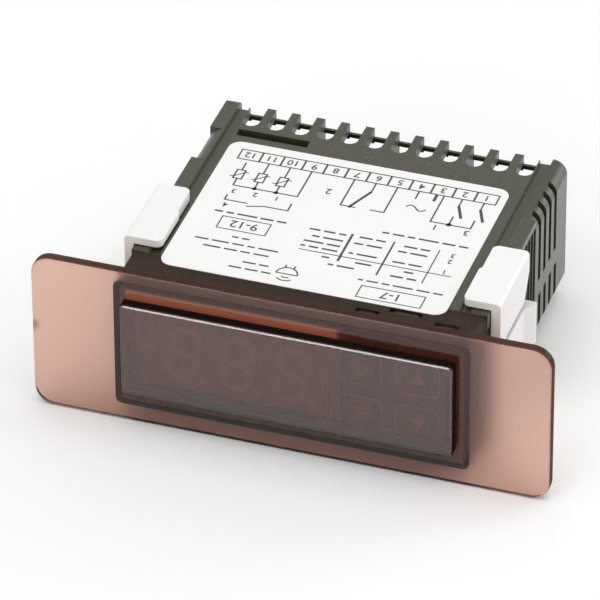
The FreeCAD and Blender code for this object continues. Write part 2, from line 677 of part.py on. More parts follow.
def digit_display():
    """Light-coloured display moulding: a rim behind the plate and a face inside the window's recess."""
    body = new_body("digit_display")
    rim = rectangle(f"-{DISPLAY_SIDE}", DISPLAY_RIGHT,
                    f"{WINDOW_LOW} + fit_gap", f"{COLLAR_CEILING} - fit_gap")
    grown(body, "rim", "XZ", "display_face", [rim], f"{DISPLAY_BOARD_FRONT} - display_face")
    face_side = f"min({RECESS_SIDE} - display_face; {DISPLAY_SIDE} - recess_margin)"
    face = rectangle(f"-{face_side}", f"{DISPLAY_RIGHT} - recess_margin",
                     f"window_rise - {RECESS_HALF} + display_face",
                     f"window_rise + {RECESS_HALF} - display_face")
    grown(body, "face", "XZ", "display_face", [face], "recess_depth", toward=-1)
    return body


def touch_post(index, column, row):
    """Conductive foam post that carries one touch key from the front board to the window."""
    body = new_body(f"touch_post_{index}")
    level = f"(window_rise - key_drop + {row} * {KEY_ROW})"
    grown(body, "post", "XZ", DISPLAY_BOARD_FRONT, [square(KEY_COLUMNS[column], level, "post_size")],
          f"{DISPLAY_BOARD_FRONT} + recess_depth - fit_gap", toward=-1)
    return body


def link_header():
    """Right-angle pin header from the main board through the display board."""
    body = new_body("link_header")
    half = "(pin_pitch * link_pins / 2)"
    base = rectangle(f"-{half}", half, BOARD_FRONT, f"{BOARD_FRONT} + header_size")
    grown(body, "base", "XY", BOARD_TOP, [base], "header_size")
    first_pin = grown(body, "pin", "XZ", f"{DISPLAY_BOARD_FRONT} + fit_gap",
                      [square(FIRST_LINK, LINK_LEVEL, "pin_size")],
                      f"{BOARD_FRONT} - {DISPLAY_BOARD_FRONT} - fit_gap")
    repeated(body, "pins", [first_pin], "X", "pin_pitch", "link_pins")
    return body


def service_header():
    """Tall pin socket on the main board, reached through the deck's service slot."""
    body = new_body("service_header")
    outline = rectangle(f"{SLOT_LEFT} + run_gap", f"{SLOT_RIGHT} - run_gap",
                        f"{SLOT_FRONT} + run_gap", f"{SLOT_REAR} - run_gap")
    grown(body, "tower", "XY", BOARD_TOP, [outline], f"{CEILING} - {BOARD_TOP}")
    first = f"(({SLOT_LEFT} + {SLOT_RIGHT}) / 2 + pin_pitch * (1 - service_pins) / 2)"
    line = f"({SLOT_FRONT} + slot_width / 2)"
    socket = cut(body, "socket", "XY", CEILING, [square(first, line, "pin_size")], "socket_depth", toward=-1)
    repeated(body, "sockets", [socket], "X", "pin_pitch", "service_pins")
    return body


def microcontroller():
    """Flat chip on the back of the front board, behind the display."""
    body = new_body("microcontroller")
    middle = f"(({DISPLAY_RIGHT} - {DISPLAY_SIDE}) / 2)"
    grown(body, "package", "XZ", NECK_FRONT, [square(middle, ZERO, "chip_size")], "chip_height")
    return body


def relay(label):
    """Sealed relay standing on the main board."""
    body = new_body(label)
    left = RELAYS[label]
    outline = rectangle(left, f"{left} + {label}_width", f"{PARTS_REAR} - {label}_length", PARTS_REAR)
    grown(body, "cover", "XY", BOARD_TOP, [outline], f"{label}_height")
    eased(body, "Chamfer", "top_edges", "relay_edge", edges_at(body, z=f"{BOARD_TOP} + {label}_height"))
    return body


def transformer():
    """Supply transformer: a flat core with limbs round a fatter winding."""
    body = new_body("transformer")
    left = f"-{WALL_SPOT}"
    right = f"(core_width - {WALL_SPOT})"
    spare = "((winding_depth - core_depth) / 2)"
    core = rectangle(left, right, BOARD_TOP, f"{BOARD_TOP} + core_height")
    grown(body, "core", "XZ", f"{PARTS_FRONT} + {spare}", [core], "core_depth")
    winding = rectangle(f"{left} + core_limb", f"{right} - core_limb",
                        f"{BOARD_TOP} + core_limb / 2", f"{BOARD_TOP} + core_height - core_limb / 2")
    grown(body, "winding", "XZ", PARTS_FRONT, [winding], "winding_depth")
    return body


def filter_capacitor():
    """Upright can capacitor with a bevelled top edge."""
    body = new_body("filter_capacitor")
    can = (ROUND_MIDDLE, CAPACITOR_PLACE, "capacitor_diameter / 2")
    grown(body, "can", "XY", BOARD_TOP, [can], "capacitor_height")
    eased(body, "Chamfer", "can_edge", "capacitor_edge", edges_at(body, z=f"{BOARD_TOP} + capacitor_height"))
    return body


def buzzer():
    """Round buzzer with a sound hole in its top."""
    body = new_body("buzzer")
    case = (ROUND_MIDDLE, BUZZER_PLACE, "buzzer_diameter / 2")
    grown(body, "case", "XY", BOARD_TOP, [case], "buzzer_height")
    hole = (ROUND_MIDDLE, BUZZER_PLACE, "buzzer_hole / 2")
    cut(body, "sound_hole", "XY", f"{BOARD_TOP} + buzzer_height", [hole], "buzzer_hole_depth", toward=-1)
    return body


def varistor():
    """Coated disc on two leads, in front of the compressor relay."""
    body = new_body("varistor")
    middle = f"({COMPRESSOR_LEFT} + compressor_relay_width / 2)"
    level = f"({BOARD_TOP} + varistor_stand + varistor_diameter / 2)"
    grown(body, "disc", "XZ", PARTS_FRONT, [(middle, level, "varistor_diameter / 2")], "varistor_thickness")
    leads = []
    for side in (-1, 1):
        place = f"({middle} + {side} * varistor_lead_gap / 2)"
        leads.append(rectangle(f"{place} - pin_size / 2", f"{place} + pin_size / 2", BOARD_TOP, level))
    grown(body, "leads", "XZ", f"{PARTS_FRONT} + (varistor_thickness - pin_size) / 2", leads, "pin_size")
    return body


def terminal_block():
    """Terminal housing: a screw well over a cage cell with a wire entry, repeated along the row."""
    body = new_body("terminal_block")
    outline = rectangle(f"-{BLOCK_SIDE}", BLOCK_SIDE, BLOCK_FRONT, BLOCK_REAR)
    grown(body, "housing", "XY", BOARD_TOP, [outline], f"{BLOCK_TOP} - {BOARD_TOP}")
    cell = rectangle(f"{FIRST_TERMINAL} - cell_width / 2", f"{FIRST_TERMINAL} + cell_width / 2",
                     CELL_FRONT, CELL_REAR)
    features = [cut(body, "cage_cell", "XY", BOARD_TOP, [cell], f"{CELL_TOP} - {BOARD_TOP}")]
    well = square(FIRST_TERMINAL, SCREW_LINE, "(head_diameter + run_gap * 2)")
    features.append(cut(body, "screw_well", "XY", BLOCK_TOP, [well], "well_depth", toward=-1))
    bore = square(FIRST_TERMINAL, SCREW_LINE, "(screw_diameter + fit_gap * 2)")
    features.append(cut(body, "screw_bore", "XY", WELL_FLOOR, [bore], "well_floor", toward=-1))
    entry = rectangle(f"{FIRST_TERMINAL} - entry_width / 2", f"{FIRST_TERMINAL} + entry_width / 2",
                      CAGE_FLOOR, TONGUE_UNDER)
    features.append(cut(body, "wire_entry", "XZ", CELL_REAR, [entry], "cell_wall"))
    repeated(body, "terminals", features, "X", TERMINAL_PITCH, "terminal_count")
    return body


def terminal_place(index):
    """Across the row, terminal 1 at the right."""
    return f"({TERMINAL_PITCH} * ((terminal_count + 1) / 2 - {index}))"


def terminal_contacts():
    """Fixed clamping tongues, each bent down into the leg that is soldered to the main board."""
    body = new_body("terminal_contacts")
    body.AllowCompound = True
    front = f"({CELL_FRONT} + fit_gap)"
    back = f"({CELL_REAR} - fit_gap)"
    profile = [(front, TONGUE_TOP), (front, f"{BOARD_UNDER} - leg_length"),
               (f"{front} + tongue_thickness", f"{BOARD_UNDER} - leg_length"),
               (f"{front} + tongue_thickness", TONGUE_UNDER), (back, TONGUE_UNDER), (back, TONGUE_TOP)]
    tongue = grown(body, "tongue", "YZ", f"{FIRST_TERMINAL} - tongue_width / 2", [profile], "tongue_width")
    repeated(body, "tongues", [tongue], "X", TERMINAL_PITCH, "terminal_count")
    return body


def terminal_cage(index):
    """Rising cage, threaded on the screw, that lifts the wire against the tongue."""
    body = new_body(f"terminal_cage_{index:02d}")
    half = "(cell_width / 2 - fit_gap)"
    front = f"({CELL_FRONT} + fit_gap + tongue_thickness + run_gap)"
    depth = f"({CELL_REAR} - fit_gap - {front})"
    bottom = f"({CAGE_FLOOR} - cage_bottom)"
    top = f"({TONGUE_TOP} + run_gap + cage_top)"
    grown(body, "ring", "XZ", front, [rectangle(f"-{half}", half, bottom, top)], depth)
    window = rectangle(f"cage_wall - {half}", f"{half} - cage_wall", CAGE_FLOOR, f"{top} - cage_top")
    cut(body, "wire_window", "XZ", front, [window], depth)
    thread = octagon(ZERO, SCREW_LINE, "(screw_diameter / 2 + thread_gap) / cos(22.5)")
    cut(body, "thread_hole", "XY", top, [thread], "cage_top", toward=-1)
    body.setExpression("Placement.Base.x", tied(terminal_place(index)))
    return body


def terminal_screw(index):
    """Captive slotted screw, seated in its well."""
    body = new_body(f"terminal_screw_{index:02d}")
    seat = f"({WELL_FLOOR} + fit_gap)"
    shank_end = f"({TONGUE_TOP} + fit_gap)"
    grown(body, "head", "XY", seat, [(ZERO, SCREW_LINE, "head_diameter / 2")], "head_height")
    slot = rectangle("-head_diameter", "head_diameter", f"{SCREW_LINE} - head_slot / 2",
                     f"{SCREW_LINE} + head_slot / 2")
    cut(body, "driver_slot", "XY", f"{seat} + head_height", [slot], "head_slot_depth", toward=-1)
    shank = octagon(ZERO, SCREW_LINE, "screw_diameter / 2")
    grown(body, "shank", "XY", seat, [shank], f"{seat} - {shank_end}", toward=-1)
    body.setExpression("Placement.Base.x", tied(terminal_place(index)))
    return body


# Touch keys: number, column from the left, row above or below the middle.
KEYS = [(1, 0, 1), (2, 1, 1), (3, 0, -1), (4, 1, -1)]
TERMINALS = range(1, int(number("terminal_count")) + 1)

parts = [front_bezel(), upper_case(), lower_case(), side_clip("left_clip", -1), side_clip("right_clip", 1)]
parts += [rating_label(), main_board(), display_board(), digit_display()]
parts += [touch_post(*key) for key in KEYS]
parts += [link_header(), service_header(), microcontroller(), transformer(), filter_capacitor(), buzzer()]
parts += [varistor(), terminal_block(), terminal_contacts()]
parts += [relay(label) for label in RELAYS]
parts += [terminal_screw(index) for index in TERMINALS]
parts += [terminal_cage(index) for index in TERMINALS]

doc.recompute()
failed = [item.Label for item in doc.Objects if {"Invalid", "Error"} & set(item.State)]
failed += [part.Label for part in parts if part.Shape.isNull() or not part.Shape.isValid()]
if failed:
    raise RuntimeError(f"not built: {sorted(set(failed))}")

os.makedirs("parts", exist_ok=True)
for part in parts:
    part.Shape.exportStep(f"parts/{part.Label}.step")
    print(f"{part.Label:22s} {len(part.Shape.Solids)} solid, {part.Shape.Volume:9.1f} mm3")
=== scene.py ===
"""Temperature controller: finishes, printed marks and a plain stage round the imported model."""

import math

import bmesh
import bpy
from mathutils import Matrix, Vector


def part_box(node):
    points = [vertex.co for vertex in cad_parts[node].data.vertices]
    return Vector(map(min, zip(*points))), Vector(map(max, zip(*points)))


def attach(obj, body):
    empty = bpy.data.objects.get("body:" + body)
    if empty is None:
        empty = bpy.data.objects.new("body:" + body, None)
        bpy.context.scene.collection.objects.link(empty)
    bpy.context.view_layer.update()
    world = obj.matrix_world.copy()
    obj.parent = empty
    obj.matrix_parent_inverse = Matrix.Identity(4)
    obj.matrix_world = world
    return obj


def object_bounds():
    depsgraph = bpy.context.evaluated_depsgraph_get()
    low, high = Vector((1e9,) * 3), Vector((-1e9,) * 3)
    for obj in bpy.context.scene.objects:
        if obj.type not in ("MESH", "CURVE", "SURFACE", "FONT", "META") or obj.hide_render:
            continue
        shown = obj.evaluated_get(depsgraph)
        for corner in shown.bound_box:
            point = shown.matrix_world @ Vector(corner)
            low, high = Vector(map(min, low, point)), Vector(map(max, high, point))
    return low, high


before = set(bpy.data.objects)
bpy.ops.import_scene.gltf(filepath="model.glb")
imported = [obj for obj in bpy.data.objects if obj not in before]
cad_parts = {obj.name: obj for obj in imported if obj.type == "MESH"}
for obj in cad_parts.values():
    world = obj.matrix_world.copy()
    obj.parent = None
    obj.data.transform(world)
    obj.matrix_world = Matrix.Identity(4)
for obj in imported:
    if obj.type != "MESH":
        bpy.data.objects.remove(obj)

bl_info = {
    "name": "Temperature controller looks",
    "version": (1, 0, 0),
    "blender": (4, 5, 0),
    "location": "View3D > Sidebar > Controller",
    "description": "Gives the temperature controller its finishes, printed marks and a plain studio",
    "category": "Object",
}

CAD_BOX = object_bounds()
MM = 0.001
CASE_BODY = "controller"
TERMINALS = range(1, 13)


class Value:
    """A shader socket that can stand in Python sums; each operation adds a Math node."""

    def __init__(self, finish, socket):
        self.finish = finish
        self.socket = socket

    def math(self, operation, first, second):
        return self.finish.node("ShaderNodeMath", {"operation": operation}, {0: first, 1: second})

    def __add__(self, other):
        return self.math("ADD", self, other)

    def __sub__(self, other):
        return self.math("SUBTRACT", self, other)

    def __rsub__(self, other):
        return self.math("SUBTRACT", other, self)

    def __mul__(self, other):
        return self.math("MULTIPLY", self, other)

    def __gt__(self, other):
        return self.math("GREATER_THAN", self, other)

    __radd__ = __add__
    __rmul__ = __mul__


class Shading:
    """A node tree being filled."""

    def __init__(self, tree):
        self.tree = tree

    def node(self, kind, settings=None, sockets=None, output=0):
        """Any node: its type, its settings, which are set first, and its sockets' values or links."""
        made = self.tree.nodes.new(kind)
        for name, value in (settings or {}).items():
            setattr(made, name, value)
        for key, value in (sockets or {}).items():
            self.join(made.inputs[key], value)
        return Value(self, made.outputs[output])

    def join(self, socket, value):
        if isinstance(value, Value):
            self.tree.links.new(value.socket, socket)
        else:
            socket.default_value = value

    def spread(self, value, low, high):
        """A value from 0 to 1 laid out between two others."""
        return value * (high - low) + low

    def seen(self):
        """One for what the camera sees, straight on, in a reflection or through something clear."""
        straight, mirrored, through = (self.node("ShaderNodeLightPath", output=f"Is {kind} Ray")
                                       for kind in ("Camera", "Glossy", "Transmission"))
        scattered = self.node("ShaderNodeLightPath", output="Diffuse Depth")
        return straight + mirrored + through - scattered * 3 > 0.5


class Finish(Shading):
    """A material being made: a Principled shader and the nodes that feed it."""

    def __init__(self, name):
        self.material = bpy.data.materials.new(name)
        self.material.use_nodes = True
        super().__init__(self.material.node_tree)
        self.shader = self.tree.nodes["Principled BSDF"]
        self.sheet = self.tree.nodes["Material Output"]
        self.place = self.node("ShaderNodeTexCoord", output="Object")

    def set(self, **inputs):
        """Set or link the shader's inputs; Base_Color stands for Base Color."""
        for name, value in inputs.items():
            self.join(self.shader.inputs[name.replace("_", " ")], value)
        return self

    def along(self, axis):
        """The place along X, Y or Z in metres."""
        return self.node("ShaderNodeSeparateXYZ", None, {0: self.place}, axis)

    def facing(self, axis):
        """How far the surface faces along X, Y or Z, from -1 to 1."""
        normal = self.node("ShaderNodeNewGeometry", output="Normal")
        return self.node("ShaderNodeSeparateXYZ", None, {0: normal}, axis)

    def grain(self, size, detail=2.0, stretch=(1.0, 1.0, 1.0)):
        """Cloudy noise from 0 to 1 with spots of about a size in metres, drawn out along an axis."""
        scaled = self.node("ShaderNodeMapping", None, {"Vector": self.place, "Scale": stretch})
        return self.node("ShaderNodeTexNoise", None,
                         {"Vector": scaled, "Scale": 1 / size, "Detail": detail}, "Fac")

    def pits(self, size):
        """Distance from the middle of scattered cells of about a size in metres."""
        return self.node("ShaderNodeTexVoronoi", None,
                         {"Vector": self.place, "Scale": 1 / size}, "Distance")

    def step(self, value, low, high):
        """A soft step from 0 at low to 1 at high."""
        return self.node("ShaderNodeMapRange", {"interpolation_type": "SMOOTHSTEP"},
                         {"Value": value, "From Min": low, "From Max": high})

    def mix(self, share, first, second):
        """Two colours mixed by a share from 0 to 1."""
        return self.node("ShaderNodeMix", {"data_type": "RGBA"}, {0: share, 6: first, 7: second}, 2)

    def relief(self, height, depth, strength=1.0):
        """Bump from a height of 0 to 1 that stands for a depth in metres."""
        bump = self.node("ShaderNodeBump", None,
                         {"Height": height, "Distance": depth, "Strength": strength}, "Normal")
        return self.set(Normal=bump)


def rgba(colour, level=1.0):
    """A colour with full alpha, made lighter or darker by a level."""
    return (*(channel * level for channel in colour[:3]), 1.0)


def moulded(name, colour, roughness, grain=0.25 * MM, depth=0.006 * MM, shade=0.12):
    """Spark-eroded moulded plastic: fine grain, a little cloudiness in colour and gloss."""
    finish = Finish(name)
    fine = finish.grain(grain, 3.0)
    cloud = finish.grain(9 * MM)
    tone = finish.mix(cloud * 0.6 + fine * 0.4, rgba(colour, 1 - shade), rgba(colour, 1 + shade))
    finish.set(Base_Color=tone,
               Roughness=finish.spread(fine * 0.5 + cloud * 0.5, roughness - 0.08, roughness + 0.08))
    return finish.relief(fine, depth)


def plated(name, colour, roughness, run=(1.0, 1.0, 1.0)):
    """Plated metal with drawn scratches along the stretched axis and dull patches."""
    finish = Finish(name)
    scratch = finish.grain(0.12 * MM, 3.0, run)
    patch = finish.grain(1.1 * MM)
    finish.set(Base_Color=finish.mix(patch, rgba(colour, 0.78), rgba(colour)), Metallic=1.0,
               Roughness=finish.spread(scratch * 0.6 + patch * 0.4, roughness - 0.1, roughness + 0.14))
    return finish.relief(scratch, 0.004 * MM)


def dress(finish, *names):
    """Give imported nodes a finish."""
    for name in names:
        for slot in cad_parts[name].material_slots:
            slot.material = finish.material


def around(middle, radius, turns):
    """Points on a circle at turns in radians."""
    return [(middle[0] + radius * math.cos(turn), middle[1] + radius * math.sin(turn)) for turn in turns]


class Marks:
    """Flat printed marks in millimetres on a plane, raised into one thin closed mesh."""

    # A numeral's height as a share of its type size, how far it is thickened, and its curves' steps.
    NUMERAL_SHARE = 0.7
    NUMERAL_BOLD = 0.035
    NUMERAL_STEPS = 3
    # Lengths of the bars that stand for small print, the gap between them and the least room for one.
    BARS = (3.1, 1.9, 2.6, 4.0, 1.5, 2.3, 3.4)
    BAR_GAP = 0.7
    LEAST_BAR = 0.8
    # How far a sharp corner's mitre is cut back, steps in a round corner, and points taken as one.
    LEAST_MITRE = 0.4
    CORNER_STEPS = 5
    SAME_POINT = 1e-5

    def __init__(self, place, thickness):
        self.place = place
        self.thickness = thickness
        self.mesh = bmesh.new()

    def shape(self, points):
        """A raised patch from outline points that run anticlockwise."""
        count = len(points)
        low = [self.mesh.verts.new((u, v, 0.0)) for u, v in points]
        high = [self.mesh.verts.new((u, v, self.thickness)) for u, v in points]
        self.mesh.faces.new(low[::-1])
        self.mesh.faces.new(high)
        for here in range(count):
            there = (here + 1) % count
            self.mesh.faces.new((low[here], low[there], high[there], high[here]))

    def ribbon(self, points, width, closed=False):
        """A line of even width with mitred corners."""
        points = [Vector(point) for point in points]
        count = len(points)
        left, right = [], []
        for index, point in enumerate(points):
            before = points[index - 1] if closed or index else None
            after = points[(index + 1) % count] if closed or index < count - 1 else None
            runs = [(point - before).normalized()] if before is not None else []
            runs += [(after - point).normalized()] if after is not None else []
            run = sum(runs, Vector((0.0, 0.0))).normalized()
            side = Vector((-run.y, run.x)) * (width / 2 / max(self.LEAST_MITRE, run.dot(runs[0])))
            left.append(point + side)
            right.append(point - side)
        if not closed:
            self.shape(right + left[::-1])
            return
        sides = ((right, 0.0), (right, self.thickness), (left, self.thickness), (left, 0.0))
        rings = [[self.mesh.verts.new((*point, level)) for point in side] for side, level in sides]
        for first, second in zip(rings, rings[1:] + rings[:1]):
            for here in range(count):
                there = (here + 1) % count
                self.mesh.faces.new((first[here], first[there], second[there], second[here]))

    def disc(self, middle, radius, sides=16):
        self.shape(around(middle, radius, [math.tau * step / sides for step in range(sides)]))

    def arc(self, middle, radius, start, end, width, steps=14):
        turns = [math.radians(start + (end - start) * step / steps) for step in range(steps + 1)]
        self.ribbon(around(middle, radius, turns), width)

    def frame(self, left, right, low, high, width, corner=0.0):
        """A box outline, with round corners where a corner radius is given."""
        if not corner:
            self.ribbon([(left, low), (right, low), (right, high), (left, high)], width, closed=True)
            return
        points = []
        for index, (u, v) in enumerate(((right, low), (right, high), (left, high), (left, low))):
            middle = (u - math.copysign(corner, u - (left + right) / 2),
                      v - math.copysign(corner, v - (low + high) / 2))
            quarters = [index - 1 + step / self.CORNER_STEPS for step in range(self.CORNER_STEPS + 1)]
            points += around(middle, corner, [math.radians(90 * quarter) for quarter in quarters])
        self.ribbon(points, width, closed=True)

    def numeral(self, text, middle, height):
        """Plain numerals, centred on a point."""
        curve = bpy.data.curves.new("numeral", "FONT")
        curve.body = text
        curve.size = height / self.NUMERAL_SHARE
        curve.align_x = "CENTER"
        curve.extrude = self.thickness / 2
        curve.offset = self.NUMERAL_BOLD
        curve.resolution_u = self.NUMERAL_STEPS
        maker = bpy.data.objects.new("numeral", curve)
        bpy.context.scene.collection.objects.link(maker)
        bpy.context.view_layer.update()
        evaluated = maker.evaluated_get(bpy.context.evaluated_depsgraph_get())
        drawn = bpy.data.meshes.new_from_object(evaluated)
        drawn.transform(Matrix.Translation((middle[0], middle[1] - height / 2, self.thickness / 2)))
        self.mesh.from_mesh(drawn)
        bpy.data.objects.remove(maker)
        bpy.data.curves.remove(curve)
        bpy.data.meshes.remove(drawn)

    def words(self, left, right, level, height):
        """A row of short bars in place of small print."""
        start = left
        index = int(abs(level) * 3 + right)
        while right - start > self.LEAST_BAR:
            end = min(right, start + self.BARS[index % len(self.BARS)])
            self.shape([(start, level - height / 2), (end, level - height / 2),
                        (end, level + height / 2), (start, level + height / 2)])
            start = end + self.BAR_GAP
            index += 1

    def made(self, name, finish):
        """The finished piece, riding on the case's body."""
        bmesh.ops.remove_doubles(self.mesh, verts=self.mesh.verts, dist=self.SAME_POINT)
        bmesh.ops.recalc_face_normals(self.mesh, faces=self.mesh.faces)
        data = bpy.data.meshes.new(name)
        self.mesh.to_mesh(data)
        self.mesh.free()
        data.transform(self.place @ Matrix.Scale(MM, 4))
        data.materials.append(finish.material)
        piece = bpy.data.objects.new(name, data)
        bpy.context.scene.collection.objects.link(piece)
        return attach(piece, CASE_BODY)


def facing_front(across, level, height):
    """A print plane at a depth along Y whose marks read from the front."""
    return Matrix.Translation((across, level, height)) @ Matrix.Rotation(math.radians(90), 4, "X")


def corners(name, wanted):
    """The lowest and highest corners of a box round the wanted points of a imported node."""
    points = [vertex.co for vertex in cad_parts[name].data.vertices if wanted(vertex.co)]
    return [Vector([pick(values) for values in zip(*points)]) for pick in (min, max)]


def window_front():
    """The lowest and highest corners of the raised window's flat front."""
    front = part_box("front_bezel")[0].y + 0.05 * MM
    return corners("front_bezel", lambda point: point.y < front)


class BezelSettings(bpy.types.PropertyGroup):
    tint: bpy.props.FloatVectorProperty(
        name="Tint", description="Colour that the smoked plastic lets through most",
        subtype="COLOR", default=(0.80, 0.25, 0.0), min=0, max=1)
    density: bpy.props.FloatProperty(
        name="Smoke", description="How strongly a metre of the plastic absorbs",
        default=365.0, min=0)
    gloss: bpy.props.FloatProperty(
        name="Roughness", description="Roughness of the polished front",
        subtype="FACTOR", default=0.05, min=0, max=1)
    collar: bpy.props.FloatVectorProperty(
        name="Collar", description="Colour of the eroded collar",
        subtype="COLOR", default=(0.038, 0.020, 0.013), min=0, max=1)
    haze: bpy.props.FloatVectorProperty(
        name="Haze", description="Colour scattered by the plate's eroded back",
        subtype="COLOR", default=(0.25, 0.26, 0.25), min=0, max=1)
    dull: bpy.props.FloatProperty(
        name="Dullness", description="How far the eroded collar hides what is behind it",
        subtype="FACTOR", default=0.6, min=0, max=1)
    frost: bpy.props.FloatProperty(
        name="Frost", description="Roughness of the plate's back and the collar",
        subtype="FACTOR", default=0.55, min=0, max=1)


class CaseSettings(bpy.types.PropertyGroup):
    colour: bpy.props.FloatVectorProperty(
        name="Case", description="Colour of the case halves",
        subtype="COLOR", default=(0.040, 0.038, 0.020), min=0, max=1)
    clip_colour: bpy.props.FloatVectorProperty(
        name="Clips", description="Colour of the side clips",
        subtype="COLOR", default=(0.84, 0.84, 0.83), min=0, max=1)
    # Painted highlight: the lighter colour of the case's scattered glint specks, standing in for the sparkle
    # of light on the grain.
    glint: bpy.props.FloatVectorProperty(
        name="Glints", description="Colour of the bright specks in the case's grain",
        subtype="COLOR", default=(0.16, 0.155, 0.13), min=0, max=1)
    gloss: bpy.props.FloatProperty(
        name="Roughness", description="Roughness of the case",
        subtype="FACTOR", default=0.36, min=0, max=1)
    sheen: bpy.props.FloatProperty(
        name="Sheen", description="Dusty shine of the case where it is seen edge on",
        subtype="FACTOR", default=0.45, min=0, max=1)


class LabelSettings(bpy.types.PropertyGroup):
    film: bpy.props.FloatVectorProperty(
        name="Film", description="Colour of the label",
        subtype="COLOR", default=(0.86, 0.86, 0.85), min=0, max=1)
    ink: bpy.props.FloatVectorProperty(
        name="Ink", description="Colour of the print",
        subtype="COLOR", default=(0.045, 0.045, 0.045), min=0, max=1)
    line: bpy.props.FloatProperty(
        name="Line", description="Width of a thin printed line in millimetres",
        default=0.25, min=0.05)
    pitch: bpy.props.FloatProperty(
        name="Cell pitch", description="Pitch of the numbered cells in millimetres",
        default=4.362, min=1)


class WindowSettings(bpy.types.PropertyGroup):
    segment: bpy.props.FloatVectorProperty(
        name="Segments", description="Colour of the unlit segments",
        subtype="COLOR", default=(0.15, 0.13, 0.125), min=0, max=1)
    face: bpy.props.FloatVectorProperty(
        name="Face", description="Colour of the display's face",
        subtype="COLOR", default=(0.09, 0.080, 0.080), min=0, max=1)
    digit_height: bpy.props.FloatProperty(
        name="Digit", description="Height of a digit in millimetres",
        default=12.6, min=2)
    key_size: bpy.props.FloatProperty(
        name="Key", description="Width of a key's outline in millimetres",
        default=8.6, min=2)


class InsideSettings(bpy.types.PropertyGroup):
    board: bpy.props.FloatVectorProperty(
        name="Boards", description="Colour of the boards' coating",
        subtype="COLOR", default=(0.016, 0.090, 0.034), min=0, max=1)
    front_board: bpy.props.FloatVectorProperty(
        name="Front board", description="Colour of the front board's coating",
        subtype="COLOR", default=(0.05, 0.06, 0.055), min=0, max=1)
    relay: bpy.props.FloatVectorProperty(
        name="Relays", description="Colour of the relay covers",
        subtype="COLOR", default=(0.012, 0.016, 0.030), min=0, max=1)
    housing: bpy.props.FloatVectorProperty(
        name="Terminal housing", description="Colour of the terminal block",
        subtype="COLOR", default=(0.035, 0.036, 0.034), min=0, max=1)
    screw: bpy.props.FloatVectorProperty(
        name="Screws", description="Colour of the screws' plating",
        subtype="COLOR", default=(0.54, 0.54, 0.53), min=0, max=1)


class StageSettings(bpy.types.PropertyGroup):
    azimuth: bpy.props.FloatProperty(
        name="Azimuth", description="Camera's turn round the part",
        subtype="ANGLE", default=0.325)
    elevation: bpy.props.FloatProperty(
        name="Elevation", description="Camera's height angle",
        subtype="ANGLE", default=0.615)
    roll: bpy.props.FloatProperty(
        name="Roll", description="Camera's roll",
        subtype="ANGLE", default=-0.005)
    distance: bpy.props.FloatProperty(
        name="Distance", description="Camera's distance",
        subtype="DISTANCE", unit="LENGTH", default=1.245846, min=0.1)
    aside: bpy.props.FloatVectorProperty(
        name="Shift", description="Camera's move right and up",
        size=2, unit="LENGTH", default=(-0.007997, -0.002721))
    lens: bpy.props.FloatProperty(
        name="Lens", description="Focal length in millimetres",
        default=388.07, min=10)
    fill: bpy.props.FloatProperty(
        name="Fill", description="Strength of the even white surroundings",
        default=0.6, min=0)
    lift: bpy.props.FloatProperty(
        name="Floor lift", description="White added to the floor where it is seen",
        default=0.06, min=0)
    floor: bpy.props.FloatVectorProperty(
        name="Floor", description="Colour of the floor",
        subtype="COLOR", default=(0.9, 0.9, 0.9), min=0, max=1)


